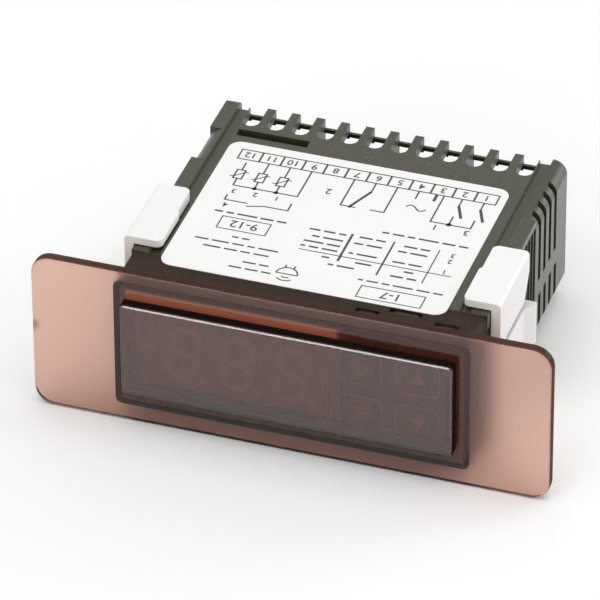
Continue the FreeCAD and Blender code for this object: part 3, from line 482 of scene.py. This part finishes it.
class CONTROLLER_OT_bezel(bpy.types.Operator):
    """Smoked, polished plastic for the front plate, window and collar"""

    bl_idname = "controller.bezel"
    bl_label = "Front bezel"

    # Depths behind the window's front at which the raised block ends, and at which the painted shade on the
    # block's sides begins, partway back along its chamfer.
    BLOCK_END = (2.3 * MM, 2.1 * MM)
    CHAMFER_END = (0.2 * MM, 0.28 * MM)
    # Depths about the plate's back at which the recess, the eroded finish and the collar begin.
    RECESS_START = (-0.9 * MM, -0.85 * MM)
    FROST_START = (-0.06 * MM, -0.02 * MM)
    COLLAR_START = (0.05 * MM, 0.3 * MM)
    # Where the strip that touches the display begins, from the window's upper edge.
    STRIP_START = (-1.0 * MM, -0.5 * MM)
    # How much each kind of face hides of what is behind it.
    EDGE_HIDES = 0.85
    HAZE_HIDES = 0.4
    STRIP_HIDES = 0.95
    # The block's sides and the back of its chamfer are painted near black and dull: painted shade for the
    # dark seen into them, which also trims the chamfer's highlight to a thin line.
    LEDGE_HIDES = 0.9
    # Colours of the clear plastic, the painted shade on the block's sides, the torn gate and the strip.
    CLEAR = (1.0, 1.0, 1.0, 1.0)
    LEDGE = (0.1, 0.1, 0.1, 1.0)
    TORN = (0.45, 0.38, 0.33, 1.0)
    STRIP = (0.9, 0.9, 0.9, 1.0)

    def execute(self, context):
        look = context.scene.controller_bezel
        finish = Finish("smoked_plastic")
        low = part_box("front_bezel")[0]
        depth = finish.along("Y")
        swirl = finish.grain(14 * MM)
        dust = finish.step(finish.pits(2.6 * MM), 0.06, 0.02)
        torn = self.gate(finish, low.x)
        frost = finish.step(depth, *self.FROST_START)
        raised = finish.step(depth, *(low.y + end for end in self.BLOCK_END))
        square = finish.facing("Y") * finish.facing("Y")
        # Painted shade on the window block: its sides, and its chamfer behind the front edge.
        painted_side_shade = raised * finish.step(square, 0.9, 0.7)
        painted_side_shade = painted_side_shade * finish.step(depth, *(low.y + end for end in self.CHAMFER_END))
        polish = finish.spread(swirl, look.gloss * 0.5, look.gloss)
        finish.set(Base_Color=finish.mix(torn, finish.mix(painted_side_shade, self.CLEAR, self.LEDGE), self.TORN),
                   Roughness=polish + dust * 0.2 + torn * 0.4 + frost * look.frost,
                   Coat_Weight=raised, Coat_IOR=1.55, IOR=1.5, Transmission_Weight=1.0)
        finish.relief(swirl + torn, 0.02 * MM, 0.25)

        collar = finish.step(depth, *self.COLLAR_START)
        sideways = finish.step(square, 0.4, 0.15)
        edge = (1 - collar) * (1 - raised) * sideways
        back = (1 - collar) * (1 - sideways)
        shown = self.zone(finish, *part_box("digit_display"), 0.5 * MM)
        window_top = window_front()[1].z
        strip = shown * frost * back
        strip = strip * finish.step(finish.along("Z"), *(window_top + start for start in self.STRIP_START))
        haze = self.zone(finish, *corners("front_bezel", lambda point: point.y > MM), 0.2 * MM)
        haze = haze * finish.step(depth, *self.RECESS_START) * (1 - shown) * back
        eroded = finish.grain(0.25 * MM, 3.0)
        skin_and_side_shade = finish.mix(eroded, rgba(look.collar, 0.6), rgba(look.collar, 1.4))
        # On the raised block the dull layer shows only where the painted shade lies, so it is near black
        # there.
        skin_and_side_shade = finish.mix(raised, skin_and_side_shade, rgba(look.collar, 0.25))
        skin_and_side_shade = finish.mix(haze, skin_and_side_shade, rgba(look.haze))
        dull = finish.node("ShaderNodeBsdfPrincipled", None, {
            "Base Color": finish.mix(strip, skin_and_side_shade, self.STRIP),
            "Roughness": finish.spread(eroded, 0.45, 0.65), "Specular IOR Level": 0.0})
        hidden = collar * look.dull + edge * self.EDGE_HIDES + haze * self.HAZE_HIDES
        hidden = hidden + strip * self.STRIP_HIDES + painted_side_shade * self.LEDGE_HIDES
        finish.join(finish.sheet.inputs["Surface"], finish.node("ShaderNodeMixShader", None, {
            0: hidden, 1: Value(finish, finish.shader.outputs[0]), 2: dull}))
        smoke = finish.node("ShaderNodeVolumeAbsorption", None,
                            {"Color": rgba(look.tint), "Density": look.density})
        finish.join(finish.sheet.inputs["Volume"], smoke)
        dress(finish, "front_bezel")
        return {"FINISHED"}

    def gate(self, finish, left):
        """The rough mark that the mould's gate leaves on the plate's left end."""
        height = finish.along("Z")
        place = finish.step(finish.along("X"), left + 1.6 * MM, left + 0.2 * MM)
        place = place * finish.step(height, -0.9 * MM, 0.4 * MM)
        place = place * finish.step(height, 2.3 * MM, 1.0 * MM)
        return place * finish.spread(finish.grain(0.3 * MM, 3.0), 0.5, 1.0)

    def zone(self, finish, low, high, soft):
        """One between two corners across and up the plate, with soft edges."""
        inside = 1.0
        for axis, start, end in (("X", low.x, high.x), ("Z", low.z, high.z)):
            place = finish.along(axis)
            inside = finish.step(place, start, start + soft) * finish.step(place, end, end - soft) * inside
        return inside


class CONTROLLER_OT_case(bpy.types.Operator):
    """Olive-grey spark-eroded plastic for both case halves, with painted glints in its grain"""

    bl_idname = "controller.case"
    bl_label = "Case halves"

    def execute(self, context):
        look = context.scene.controller_case
        finish = Finish("case_plastic")
        fine = finish.grain(0.3 * MM, 3.0)
        cloud = finish.grain(9 * MM)
        # Painted glints: scattered specks get a lighter base colour that stands in for sparkle highlights;
        # their lower roughness and bump are real.
        painted_glints = finish.step(finish.pits(0.8 * MM), 0.2, 0.08)
        mottle = cloud * 0.4 + finish.step(fine, 0.3, 0.7) * 0.6
        tone = finish.mix(mottle, rgba(look.colour, 0.6), rgba(look.colour, 1.35))
        rough = finish.spread(fine * 0.6 + cloud * 0.4, look.gloss - 0.1, look.gloss + 0.12)
        finish.set(Base_Color=finish.mix(painted_glints * 0.8, tone, rgba(look.glint)),
                   Roughness=rough - painted_glints * 0.1, Sheen_Weight=look.sheen, Sheen_Roughness=0.3)
        finish.relief(fine * 0.7 + painted_glints * 0.3, 0.04 * MM)
        dress(finish, "upper_case", "lower_case")
        return {"FINISHED"}


class CONTROLLER_OT_clips(bpy.types.Operator):
    """White moulded plastic for the sliding clips"""

    bl_idname = "controller.clips"
    bl_label = "Side clips"

    def execute(self, context):
        look = context.scene.controller_case
        finish = moulded("clip_plastic", look.clip_colour, 0.38, 0.4 * MM, 0.005 * MM, 0.02)
        dress(finish, "left_clip", "right_clip")
        return {"FINISHED"}


class CONTROLLER_OT_label(bpy.types.Operator):
    """White label film with numbered terminal cells and a wiring diagram, read from behind"""

    bl_idname = "controller.label"
    bl_label = "Label and its print"

    # Marks lie in millimetres from the label's middle; these are the cells' upper edge and the probes' rail.
    FOOT = -16.3
    RAIL = -7.25
    CELL_HEIGHT = 3.25
    ROW_SHIFT = 0.65
    # How far the print sinks into the film, in metres, and how thick it is, in millimetres.
    SUNK = 0.004 * MM
    PRINT = 0.02

    def execute(self, context):
        look = context.scene.controller_label
        film = moulded("label_film", look.film, 0.4, 0.5 * MM, 0.003 * MM, 0.02)
        dress(film, "rating_label")
        ink = moulded("label_ink", look.ink, 0.5, 0.12 * MM, 0.003 * MM, 0.3)
        low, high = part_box("rating_label")
        middle = (low + high) / 2
        place = Matrix.Translation((middle.x, middle.y, high.z - self.SUNK))
        marks = Marks(place @ Matrix.Rotation(math.pi, 4, "Z"), self.PRINT)
        self.cells(marks, look)
        self.probes(marks, look)
        self.outputs(marks, look)
        self.table(marks, look)
        self.notes(marks, look)
        marks.made("label_print", ink)
        return {"FINISHED"}

    def column(self, look, terminal):
        """Where a terminal's cell lies across the label as it is read."""
        middle = (TERMINALS[0] + TERMINALS[-1]) / 2
        return (terminal - middle) * look.pitch - self.ROW_SHIFT

    def cells(self, marks, look):
        """A row of numbered cells, one for each terminal."""
        start = self.column(look, TERMINALS[0] - 0.5)
        end = self.column(look, TERMINALS[-1] + 0.5)
        low = self.FOOT - self.CELL_HEIGHT
        marks.frame(start, end, low, self.FOOT, look.line * 1.2)
        for terminal in TERMINALS:
            u = self.column(look, terminal)
            if terminal > 1:
                edge = self.column(look, terminal - 0.5)
                marks.ribbon([(edge, low), (edge, self.FOOT)], look.line * 1.6)
            marks.numeral(str(terminal), (u, (low + self.FOOT) / 2), 1.75)

    def probes(self, marks, look):
        """Three probes on a common rail, and an open contact."""
        line = look.line * 1.3
        rail_end = self.column(look, 9)
        for terminal, stem in ((12, 1.0), (11, 0.0), (10, 0.0)):
            u = self.column(look, terminal)
            marks.ribbon([(u, self.FOOT + stem), (u, -12.6)], line)
            marks.frame(u - 0.85, u + 0.85, -12.6, -9.6, line)
            slash = [(u - 1.7, -12.0), (u - 0.9, -12.0), (u + 0.9, -10.2), (u + 1.7, -10.2)]
            marks.ribbon(slash, line * 0.8)
            marks.ribbon([(u, -9.6), (u, self.RAIL)], line)
            if terminal < 12:
                marks.disc((u, self.RAIL), 0.5)
            marks.numeral(str(terminal - 9), (u - 0.8, -5.3), 1.4)
        far = self.column(look, 12)
        marks.ribbon([(far, self.RAIL), (rail_end, self.RAIL), (rail_end, self.FOOT)], line)
        marks.ribbon([(23.3, -3.8), (23.3, -2.1), (18.6, -2.1)], line)
        marks.ribbon([(18.6, -1.1), (15.3, -2.1), (10.5, -2.1), (10.5, -4.6)], line)
        marks.numeral("4", (22.6, -0.4), 1.4)
        marks.words(9.4, 23.9, 1.9, 0.5)
        marks.frame(11.95, 21.75, 3.3, 7.3, look.line)
        marks.numeral("9-12", (16.85, 5.3), 2.2)

    def outputs(self, marks, look):
        """The switched outputs and the supply's wave."""
        line = look.line * 1.3
        blade = look.line * 2.4
        u = self.column(look, 7)
        marks.ribbon([(u, self.FOOT), (u, -7.2), (-1.5, -7.2)], line)
        u = self.column(look, 6)
        marks.ribbon([(u, self.FOOT), (u, -13.0)], line)
        marks.ribbon([(u, -13.2), (-0.2, -6.9)], blade)
        u = self.column(look, 5)
        marks.ribbon([(u, self.FOOT), (u, -7.3), (-4.4, -7.3)], line)
        marks.numeral("2", (5.1, -10.8), 1.8)
        u = self.column(look, 4)
        marks.ribbon([(u, self.FOOT), (u, -13.6)], line)
        marks.ribbon([(u - 3.6, self.FOOT), (u - 3.6, -13.9)], blade)
        wave = [(-14.6 + 0.25 * step, -10.6 + 0.75 * math.sin(math.tau * step / 16)) for step in range(17)]
        marks.ribbon(wave, line)
        marks.ribbon([(-16.6, self.FOOT), (-16.6, -7.2), (-24.65, -7.2), (-24.65, -10.1)], line)
        marks.disc((-20.3, -7.2), 0.55)
        marks.ribbon([(-20.3, -7.2), (-20.3, -10.1)], line)
        for terminal in (2, 1):
            u = self.column(look, terminal)
            marks.ribbon([(u, self.FOOT), (u, -13.6)], line)
            marks.ribbon([(u, -13.8), (u - 1.6, -9.9)], blade)
        marks.numeral("1", (-18.0, -5.5), 1.7)
        marks.numeral("3", (-24.3, -5.5), 1.7)
        marks.words(-26.2, -9.0, -0.9, 0.5)

    def table(self, marks, look):
        """A ruled table filled with bars."""
        marks.ribbon([(-25.9, 9.25), (4.5, 9.25)], look.line)
        for u, high, width in ((-3.85, 10.9, 2.0), (-12.25, 13.1, 1.5), (-21.25, 13.0, 1.0)):
            marks.ribbon([(u, 1.4), (u, high)], look.line * width)
        entries = ((-2.8, 4.6, (2.2, 4.3, 6.2, 7.9)), (-10.6, -5.0, (2.0, 4.2, 7.6)),
                   (-19.6, -13.8, (2.3, 4.2, 7.8)), (-10.4, -7.2, (10.4,)), (-7.6, -2.4, (12.4,)),
                   (-18.8, -15.6, (10.4,)), (-20.0, -14.6, (12.4,)), (-2.0, 1.0, (10.4,)))
        for left, right, levels in entries:
            for level in levels:
                marks.words(left, right, level, 0.5)
        for text, level in (("3", 2.6), ("2", 4.6), ("1", 8.2)):
            marks.numeral(text, (-24.2, level), 1.3)
        marks.words(-26.2, -9.4, 15.4, 0.45)
        marks.frame(-23.4, -10.7, 17.1, 20.9, look.line)
        marks.numeral("1-7", (-17.05, 19.0), 2.2)

    def notes(self, marks, look):
        """Rows of bars and a plain buzzer symbol."""
        line = look.line * 1.2
        for left, right, level in ((14.3, 17.8, 9.4), (7.8, 24.5, 11.6), (9.0, 22.2, 13.6),
                                   (8.0, 14.3, 16.7), (6.9, 15.3, 18.8)):
            marks.words(left, right, level, 0.45)
        marks.ribbon([(1.85, 18.0), (6.15, 18.0)], line)
        marks.arc((4.0, 18.0), 2.1, 180, 360, line)
        for u in (3.1, 4.9):
            marks.ribbon([(u, 16.1), (u, 15.1)], line)
        for radius in (1.0, 2.0):
            marks.arc((4.0, 18.2), radius, 45, 135, line)


class CONTROLLER_OT_display(bpy.types.Operator):
    """Display moulding with a grey face and unlit seven-segment digits"""

    bl_idname = "controller.display"
    bl_label = "Digit display"

    # A digit's width and bar as shares of its height, and its slant.
    WIDTH = 0.53
    BAR = 0.13
    LEAN = math.tan(math.radians(7))
    # Middles of the minus sign and the digits across the display, in millimetres.
    MINUS = -16.4
    DIGITS = (-9.2, 1.6, 12.4)
    # How far the segments sink into the face, in metres, and how thick they are, in millimetres.
    SUNK = 0.005 * MM
    PRINT = 0.02
    # Colour of the display's sides towards its rear, darker than at its front.
    POTTING = (0.03, 0.028, 0.026, 1.0)

    def execute(self, context):
        look = context.scene.controller_window
        low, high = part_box("digit_display")
        body = Finish("display_plastic")
        fine = body.grain(0.3 * MM)
        window_low, window_high = window_front()
        left, top = window_low.x, window_high.z
        face = body.step(body.facing("Y"), -0.5, -0.8)
        face = face * body.step(body.along("X"), left - 0.9 * MM, left - 0.4 * MM)
        face = face * body.step(body.along("Z"), top - 1.2 * MM, top - 1.7 * MM)
        # From 1.6 to 2.8 mm behind the display's front its sides turn dark, and they stay dark to the rear.
        rear_dark = body.step(body.along("Y"), low.y + 1.6 * MM, low.y + 2.8 * MM)
        white = body.mix(fine, (0.88, 0.90, 0.92, 1.0), (0.92, 0.94, 0.96, 1.0))
        sides = body.mix(rear_dark, white, self.POTTING)
        body.set(Base_Color=body.mix(face, sides, rgba(look.face)), Roughness=body.spread(fine, 0.42, 0.58))
        body.relief(fine, 0.004 * MM)
        dress(body, "digit_display")
        segment = moulded("unlit_segment", look.segment, 0.3, 0.3 * MM, 0.004 * MM, 0.06)
        marks = Marks(facing_front((low.x + high.x) / 2, low.y + self.SUNK, 0.9 * MM), self.PRINT)
        self.digits(marks, look.digit_height)
        marks.made("digit_segments", segment)
        return {"FINISHED"}

    def digits(self, marks, height):
        """A minus sign and three seven-segment digits with their points."""
        width = height * self.WIDTH
        bar = height * self.BAR
        half = height / 2
        tip = bar / 2

        def slanted(points, across):
            return [(across + u + v * self.LEAN, v) for u, v in points]

        def flat(level, reach):
            return [(-reach, level), (tip - reach, level - tip), (reach - tip, level - tip), (reach, level),
                    (reach - tip, level + tip), (tip - reach, level + tip)]

        def upright(side, low, high):
            return [(side, low), (side + tip, low + tip), (side + tip, high - tip), (side, high),
                    (side - tip, high - tip), (side - tip, low + tip)]

        gap = bar * 0.12
        side = width / 2 - tip
        reach = side - gap
        marks.shape(slanted(flat(0.0, reach * 0.8), self.MINUS))
        for across in self.DIGITS:
            for level in (tip - half, 0.0, half - tip):
                marks.shape(slanted(flat(level, reach), across))
            for u in (-side, side):
                marks.shape(slanted(upright(u, gap, half - tip - gap), across))
                marks.shape(slanted(upright(u, gap + tip - half, -gap), across))
            marks.disc((across + width / 2 + bar * 0.7 - half * self.LEAN, tip - half), bar * 0.55)


class CONTROLLER_OT_keys(bpy.types.Operator):
    """Touch key outlines and plain symbols printed behind the window, and the posts behind them"""

    bl_idname = "controller.keys"
    bl_label = "Touch keys"

    # How much lighter the keys' print is than the segments, and its lines' widths in millimetres.
    INK_LEVEL = 2.2
    OUTLINE = 0.28
    STROKE = 0.4
    # A key's height as a share of its width, and its corners' radius in millimetres.
    KEY_HEIGHT = 0.86
    KEY_CORNER = 1.6
    # The posts begin this far behind the window's recess, and the print's back lies just behind it.
    POST_GAP = 0.1 * MM
    PRINT_BACK = 0.006 * MM
    PRINT = 0.012

    def execute(self, context):
        look = context.scene.controller_window
        posts = [f"touch_post_{index}" for index in range(1, 5)]
        foam = Finish("foam")
        cells = foam.pits(0.35 * MM)
        tone = foam.mix(foam.step(cells, 0.1, 0.5), (0.04, 0.04, 0.04, 1.0), (0.08, 0.08, 0.078, 1.0))
        foam.set(Base_Color=tone, Roughness=foam.spread(cells, 0.8, 0.95))
        foam.relief(cells, 0.12 * MM)
        dress(foam, *posts)
        print_ink = moulded("key_ink", rgba(look.segment, self.INK_LEVEL), 0.45, 0.2 * MM, 0.003 * MM, 0.1)
        behind_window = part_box(posts[0])[0].y - self.POST_GAP
        middles = [(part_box(post)[0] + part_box(post)[1]) / 2 for post in posts]
        marks = Marks(facing_front(0.0, behind_window + self.PRINT_BACK, 0.0), self.PRINT)
        half = look.key_size / 2
        half_height = half * self.KEY_HEIGHT
        for symbol, middle in zip((self.power, self.up, self.menu, self.down), middles):
            u, v = middle.x / MM, middle.z / MM
            marks.frame(u - half, u + half, v - half_height, v + half_height, self.OUTLINE, self.KEY_CORNER)
            symbol(marks, u, v)
        marks.made("key_marks", print_ink)
        return {"FINISHED"}

    def power(self, marks, u, v):
        marks.arc((u, v), 1.3, -240, 60, self.STROKE, 20)
        marks.ribbon([(u, v + 0.3), (u, v + 1.8)], self.STROKE)

    def menu(self, marks, u, v):
        for level in (-1.1, 0.0, 1.1):
            marks.ribbon([(u - 1.5, v + level), (u + 1.5, v + level)], 0.42)

    def up(self, marks, u, v):
        marks.shape([(u - 1.7, v - 1.2), (u + 1.7, v - 1.2), (u, v + 1.6)])

    def down(self, marks, u, v):
        marks.shape([(u + 1.7, v + 1.2), (u - 1.7, v + 1.2), (u, v - 1.6)])


class CONTROLLER_OT_boards(bpy.types.Operator):
    """Coated boards, their headers and the chip"""

    bl_idname = "controller.boards"
    bl_label = "Boards and headers"

    # Thickness of the pin header's plastic, at its rear.
    HEADER_BASE = 2.5 * MM

    def execute(self, context):
        look = context.scene.controller_inside
        for name, colour in (("main_board", look.board), ("display_board", look.front_board)):
            board = Finish(f"{name}_coating")
            warp = board.grain(0.35 * MM, 1.0, (1.0, 4.0, 1.0))
            weft = board.grain(0.35 * MM, 1.0, (4.0, 1.0, 1.0))
            weave = warp * 0.5 + weft * 0.5
            track = board.step(board.grain(2.6 * MM, 0.0, (1.0, 0.25, 1.0)), 0.48, 0.52)
            coat = board.mix(track, rgba(colour), rgba(colour, 1.3))
            board.set(Base_Color=coat, Roughness=board.spread(weave, 0.25, 0.42))
            board.relief(weave * 0.4 + track * 0.6, 0.02 * MM)
            dress(board, name)
        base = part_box("link_header")[1].y - self.HEADER_BASE
        header = Finish("header_plastic")
        pin = header.step(header.along("Y"), base + 0.02 * MM, base - 0.02 * MM)
        fine = header.grain(0.2 * MM)
        tone = header.mix(pin, (0.014, 0.014, 0.015, 1.0), (0.72, 0.66, 0.52, 1.0))
        header.set(Base_Color=tone, Metallic=pin, Roughness=header.spread(fine, 0.34, 0.52) - pin * 0.12)
        header.relief(fine, 0.004 * MM)
        dress(header, "link_header")
        dress(moulded("socket_plastic", (0.010, 0.010, 0.011), 0.75, 0.2 * MM), "service_header")
        chip = moulded("chip_plastic", (0.016, 0.016, 0.018), 0.55, 0.12 * MM, 0.008 * MM, 0.2)
        dress(chip, "microcontroller")
        return {"FINISHED"}


class CONTROLLER_OT_power_parts(bpy.types.Operator):
    """Relays, transformer, capacitor, buzzer and varistor on the main board"""

    bl_idname = "controller.power_parts"
    bl_label = "Power parts"

    # Width of the core's end limbs and half its thickness; the taped winding lies past both.
    END_LIMB = (3.9 * MM, 4.1 * MM)
    HALF_CORE = (2.4 * MM, 2.6 * MM)
    TAPE = (0.62, 0.44, 0.06, 1.0)
    LID = (0.74, 0.74, 0.75, 1.0)

    def execute(self, context):
        look = context.scene.controller_inside
        relay = moulded("relay_plastic", look.relay, 0.3, 0.3 * MM, 0.004 * MM, 0.15)
        dress(relay, "compressor_relay", "defrost_relay", "fan_relay", "buzzer")
        low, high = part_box("transformer")
        middle = (low + high) / 2
        core = Finish("ferrite")
        fine = core.grain(0.2 * MM, 3.0)
        layers = core.grain(0.9 * MM, 0.0, (0.05, 1.0, 0.05))
        tape = core.step(core.along("X"), *(low.x + limb for limb in self.END_LIMB))
        tape = tape * core.step(core.along("X"), *(high.x - limb for limb in self.END_LIMB))
        off = core.step(core.along("Y"), *(middle.y + half for half in self.HALF_CORE))
        off = off + core.step(core.along("Y"), *(middle.y - half for half in self.HALF_CORE))
        wound = tape * off
        grey = core.mix(fine, (0.020, 0.020, 0.021, 1.0), (0.045, 0.045, 0.046, 1.0))
        core.set(Base_Color=core.mix(wound, grey, self.TAPE),
                 Roughness=core.spread(fine, 0.55, 0.75) - wound * 0.25)
        core.relief(fine * 0.4 + layers * wound, 0.03 * MM)
        dress(core, "transformer")
        sleeve = Finish("capacitor_sleeve")
        lid = sleeve.step(sleeve.facing("Z"), 0.85, 0.95)
        fine = sleeve.grain(0.4 * MM)
        film = sleeve.mix(fine, (0.010, 0.012, 0.028, 1.0), (0.016, 0.019, 0.045, 1.0))
        sleeve.set(Base_Color=sleeve.mix(lid, film, self.LID), Metallic=lid,
                   Roughness=sleeve.spread(fine, 0.22, 0.34))
        sleeve.relief(fine, 0.006 * MM)
        dress(sleeve, "filter_capacitor")
        dress(moulded("varistor_coat", (0.020, 0.085, 0.20), 0.42, 0.7 * MM, 0.03 * MM), "varistor")
        return {"FINISHED"}


class CONTROLLER_OT_terminals(bpy.types.Operator):
    """Terminal housing, contacts, screws and rising cages"""

    bl_idname = "controller.terminals"
    bl_label = "Terminals"

    def execute(self, context):
        look = context.scene.controller_inside
        dress(moulded("terminal_plastic", look.housing, 0.42, 0.3 * MM, 0.008 * MM), "terminal_block")
        dress(plated("tinned_copper", (0.78, 0.77, 0.74), 0.34, (1.0, 0.1, 1.0)), "terminal_contacts")
        dress(plated("screw_steel", look.screw, 0.38, (0.15, 1.0, 1.0)),
              *(f"terminal_screw_{index:02d}" for index in TERMINALS))
        dress(plated("cage_steel", (0.70, 0.66, 0.55), 0.32, (1.0, 1.0, 0.12)),
              *(f"terminal_cage_{index:02d}" for index in TERMINALS))
        return {"FINISHED"}


class CONTROLLER_OT_stage(bpy.types.Operator):
    """Pale floor, soft lamps, white surroundings and the camera"""

    bl_idname = "controller.stage"
    bl_label = "Stage"

    # The point that the camera and the lamps look at, the floor's half width and its gap under the part.
    AIM = Vector((0.0, 0.03, 0.0))
    FLOOR_REACH = 2.0
    FLOOR_GAP = 0.02 * MM
    # Each lamp's place and width in metres and its power in watts.
    LAMPS = {
        "overhead": ((0.15, -0.1, 1.1), 1.2, 5.2),
        "front_soft": ((-0.2, -1.1, 0.5), 0.8, 2.6),
        "right_side": ((0.8, 0.75, 0.28), 0.6, 3.2),
        "front": ((-0.33, -0.72, 1.0), 0.26, 0.9),
    }

    def execute(self, context):
        look = context.scene.controller_stage
        self.floor(look)
        self.surroundings(look)
        for name, (place, size, power) in self.LAMPS.items():
            self.lamp(name, place, size, power)
        self.camera(context.scene, look)
        context.scene.view_settings.view_transform = "Standard"
        return {"FINISHED"}

    def floor(self, look):
        """A pale paper floor just under the part."""
        mesh = bmesh.new()
        bmesh.ops.create_grid(mesh, x_segments=4, y_segments=4, size=self.FLOOR_REACH)
        data = bpy.data.meshes.new("floor")
        mesh.to_mesh(data)
        mesh.free()
        data.transform(Matrix.Translation((0.0, 0.0, CAD_BOX[0].z - self.FLOOR_GAP)))
        finish = Finish("floor_paper")
        fibre = finish.grain(2 * MM)
        finish.set(Base_Color=finish.mix(fibre, rgba(look.floor, 0.985), rgba(look.floor)),
                   Roughness=finish.spread(fibre, 0.8, 0.9), Emission_Strength=look.lift,
                   Emission_Color=finish.seen())
        data.materials.append(finish.material)
        piece = bpy.data.objects.new("floor", data)
        bpy.context.scene.collection.objects.link(piece)

    def surroundings(self, look):
        """Even white light, seen as full white."""
        world = bpy.data.worlds.new("white_room")
        world.use_nodes = True
        bpy.context.scene.world = world
        backdrop = world.node_tree.nodes["Background"]
        backdrop.inputs["Color"].default_value = (1.0, 1.0, 1.0, 1.0)
        room = Shading(world.node_tree)
        room.join(backdrop.inputs["Strength"], room.spread(room.seen(), look.fill, 1.0))

    def lamp(self, name, place, size, power):
        """A round soft lamp that faces the part."""
        data = bpy.data.lights.new(name, "AREA")
        data.shape = "DISK"
        data.size = size
        data.energy = power
        lamp = bpy.data.objects.new(name, data)
        lamp.location = place
        lamp.rotation_mode = "QUATERNION"
        lamp.rotation_quaternion = (self.AIM - Vector(place)).to_track_quat("-Z", "Y")
        bpy.context.scene.collection.objects.link(lamp)

    def camera(self, scene, look):
        """A long lens at the settings' angles and distance."""
        back = Vector((math.sin(look.azimuth) * math.cos(look.elevation),
                       -math.cos(look.azimuth) * math.cos(look.elevation), math.sin(look.elevation)))
        right = Vector((0.0, 0.0, 1.0)).cross(back).normalized()
        turn = Matrix((right, back.cross(right), back)).transposed() @ Matrix.Rotation(look.roll, 3, "Z")
        data = bpy.data.cameras.new("camera")
        data.sensor_width = 36.0
        data.lens = look.lens
        data.clip_start, data.clip_end = 0.05, 20.0
        camera = bpy.data.objects.new("camera", data)
        place = back * look.distance + turn.col[0] * look.aside[0] + turn.col[1] * look.aside[1]
        camera.matrix_world = Matrix.Translation(place + self.AIM) @ turn.to_4x4()
        scene.collection.objects.link(camera)
        scene.camera = camera


class CONTROLLER_PT_looks(bpy.types.Panel):
    """Lists the controller's settings and the steps that dress it"""

    bl_idname = "CONTROLLER_PT_looks"
    bl_label = "Temperature controller"
    bl_space_type = "VIEW_3D"
    bl_region_type = "UI"
    bl_category = "Controller"

    def draw(self, context):
        for group in SETTINGS:
            box = self.layout.box()
            for name in SETTINGS[group].__annotations__:
                box.prop(getattr(context.scene, group), name)
        for step in STEPS:
            self.layout.operator(step.bl_idname)


SETTINGS = {
    "controller_bezel": BezelSettings,
    "controller_case": CaseSettings,
    "controller_label": LabelSettings,
    "controller_window": WindowSettings,
    "controller_inside": InsideSettings,
    "controller_stage": StageSettings,
}
STEPS = (CONTROLLER_OT_bezel, CONTROLLER_OT_case, CONTROLLER_OT_clips, CONTROLLER_OT_label,
         CONTROLLER_OT_display, CONTROLLER_OT_keys, CONTROLLER_OT_boards, CONTROLLER_OT_power_parts,
         CONTROLLER_OT_terminals, CONTROLLER_OT_stage)


def register():
    for kind in (*SETTINGS.values(), *STEPS, CONTROLLER_PT_looks):
        bpy.utils.register_class(kind)
    for group, kind in SETTINGS.items():
        setattr(bpy.types.Scene, group, bpy.props.PointerProperty(type=kind))


def unregister():
    for group in SETTINGS:
        delattr(bpy.types.Scene, group)
    for kind in (CONTROLLER_PT_looks, *STEPS[::-1], *SETTINGS.values()):
        bpy.utils.unregister_class(kind)


def main():
    register()
    bpy.ops.controller.bezel()
    bpy.ops.controller.case()
    bpy.ops.controller.clips()
    bpy.ops.controller.label()
    bpy.ops.controller.display()
    bpy.ops.controller.keys()
    bpy.ops.controller.boards()
    bpy.ops.controller.power_parts()
    bpy.ops.controller.terminals()
    bpy.ops.controller.stage()


if __name__ == "__main__":
    main()
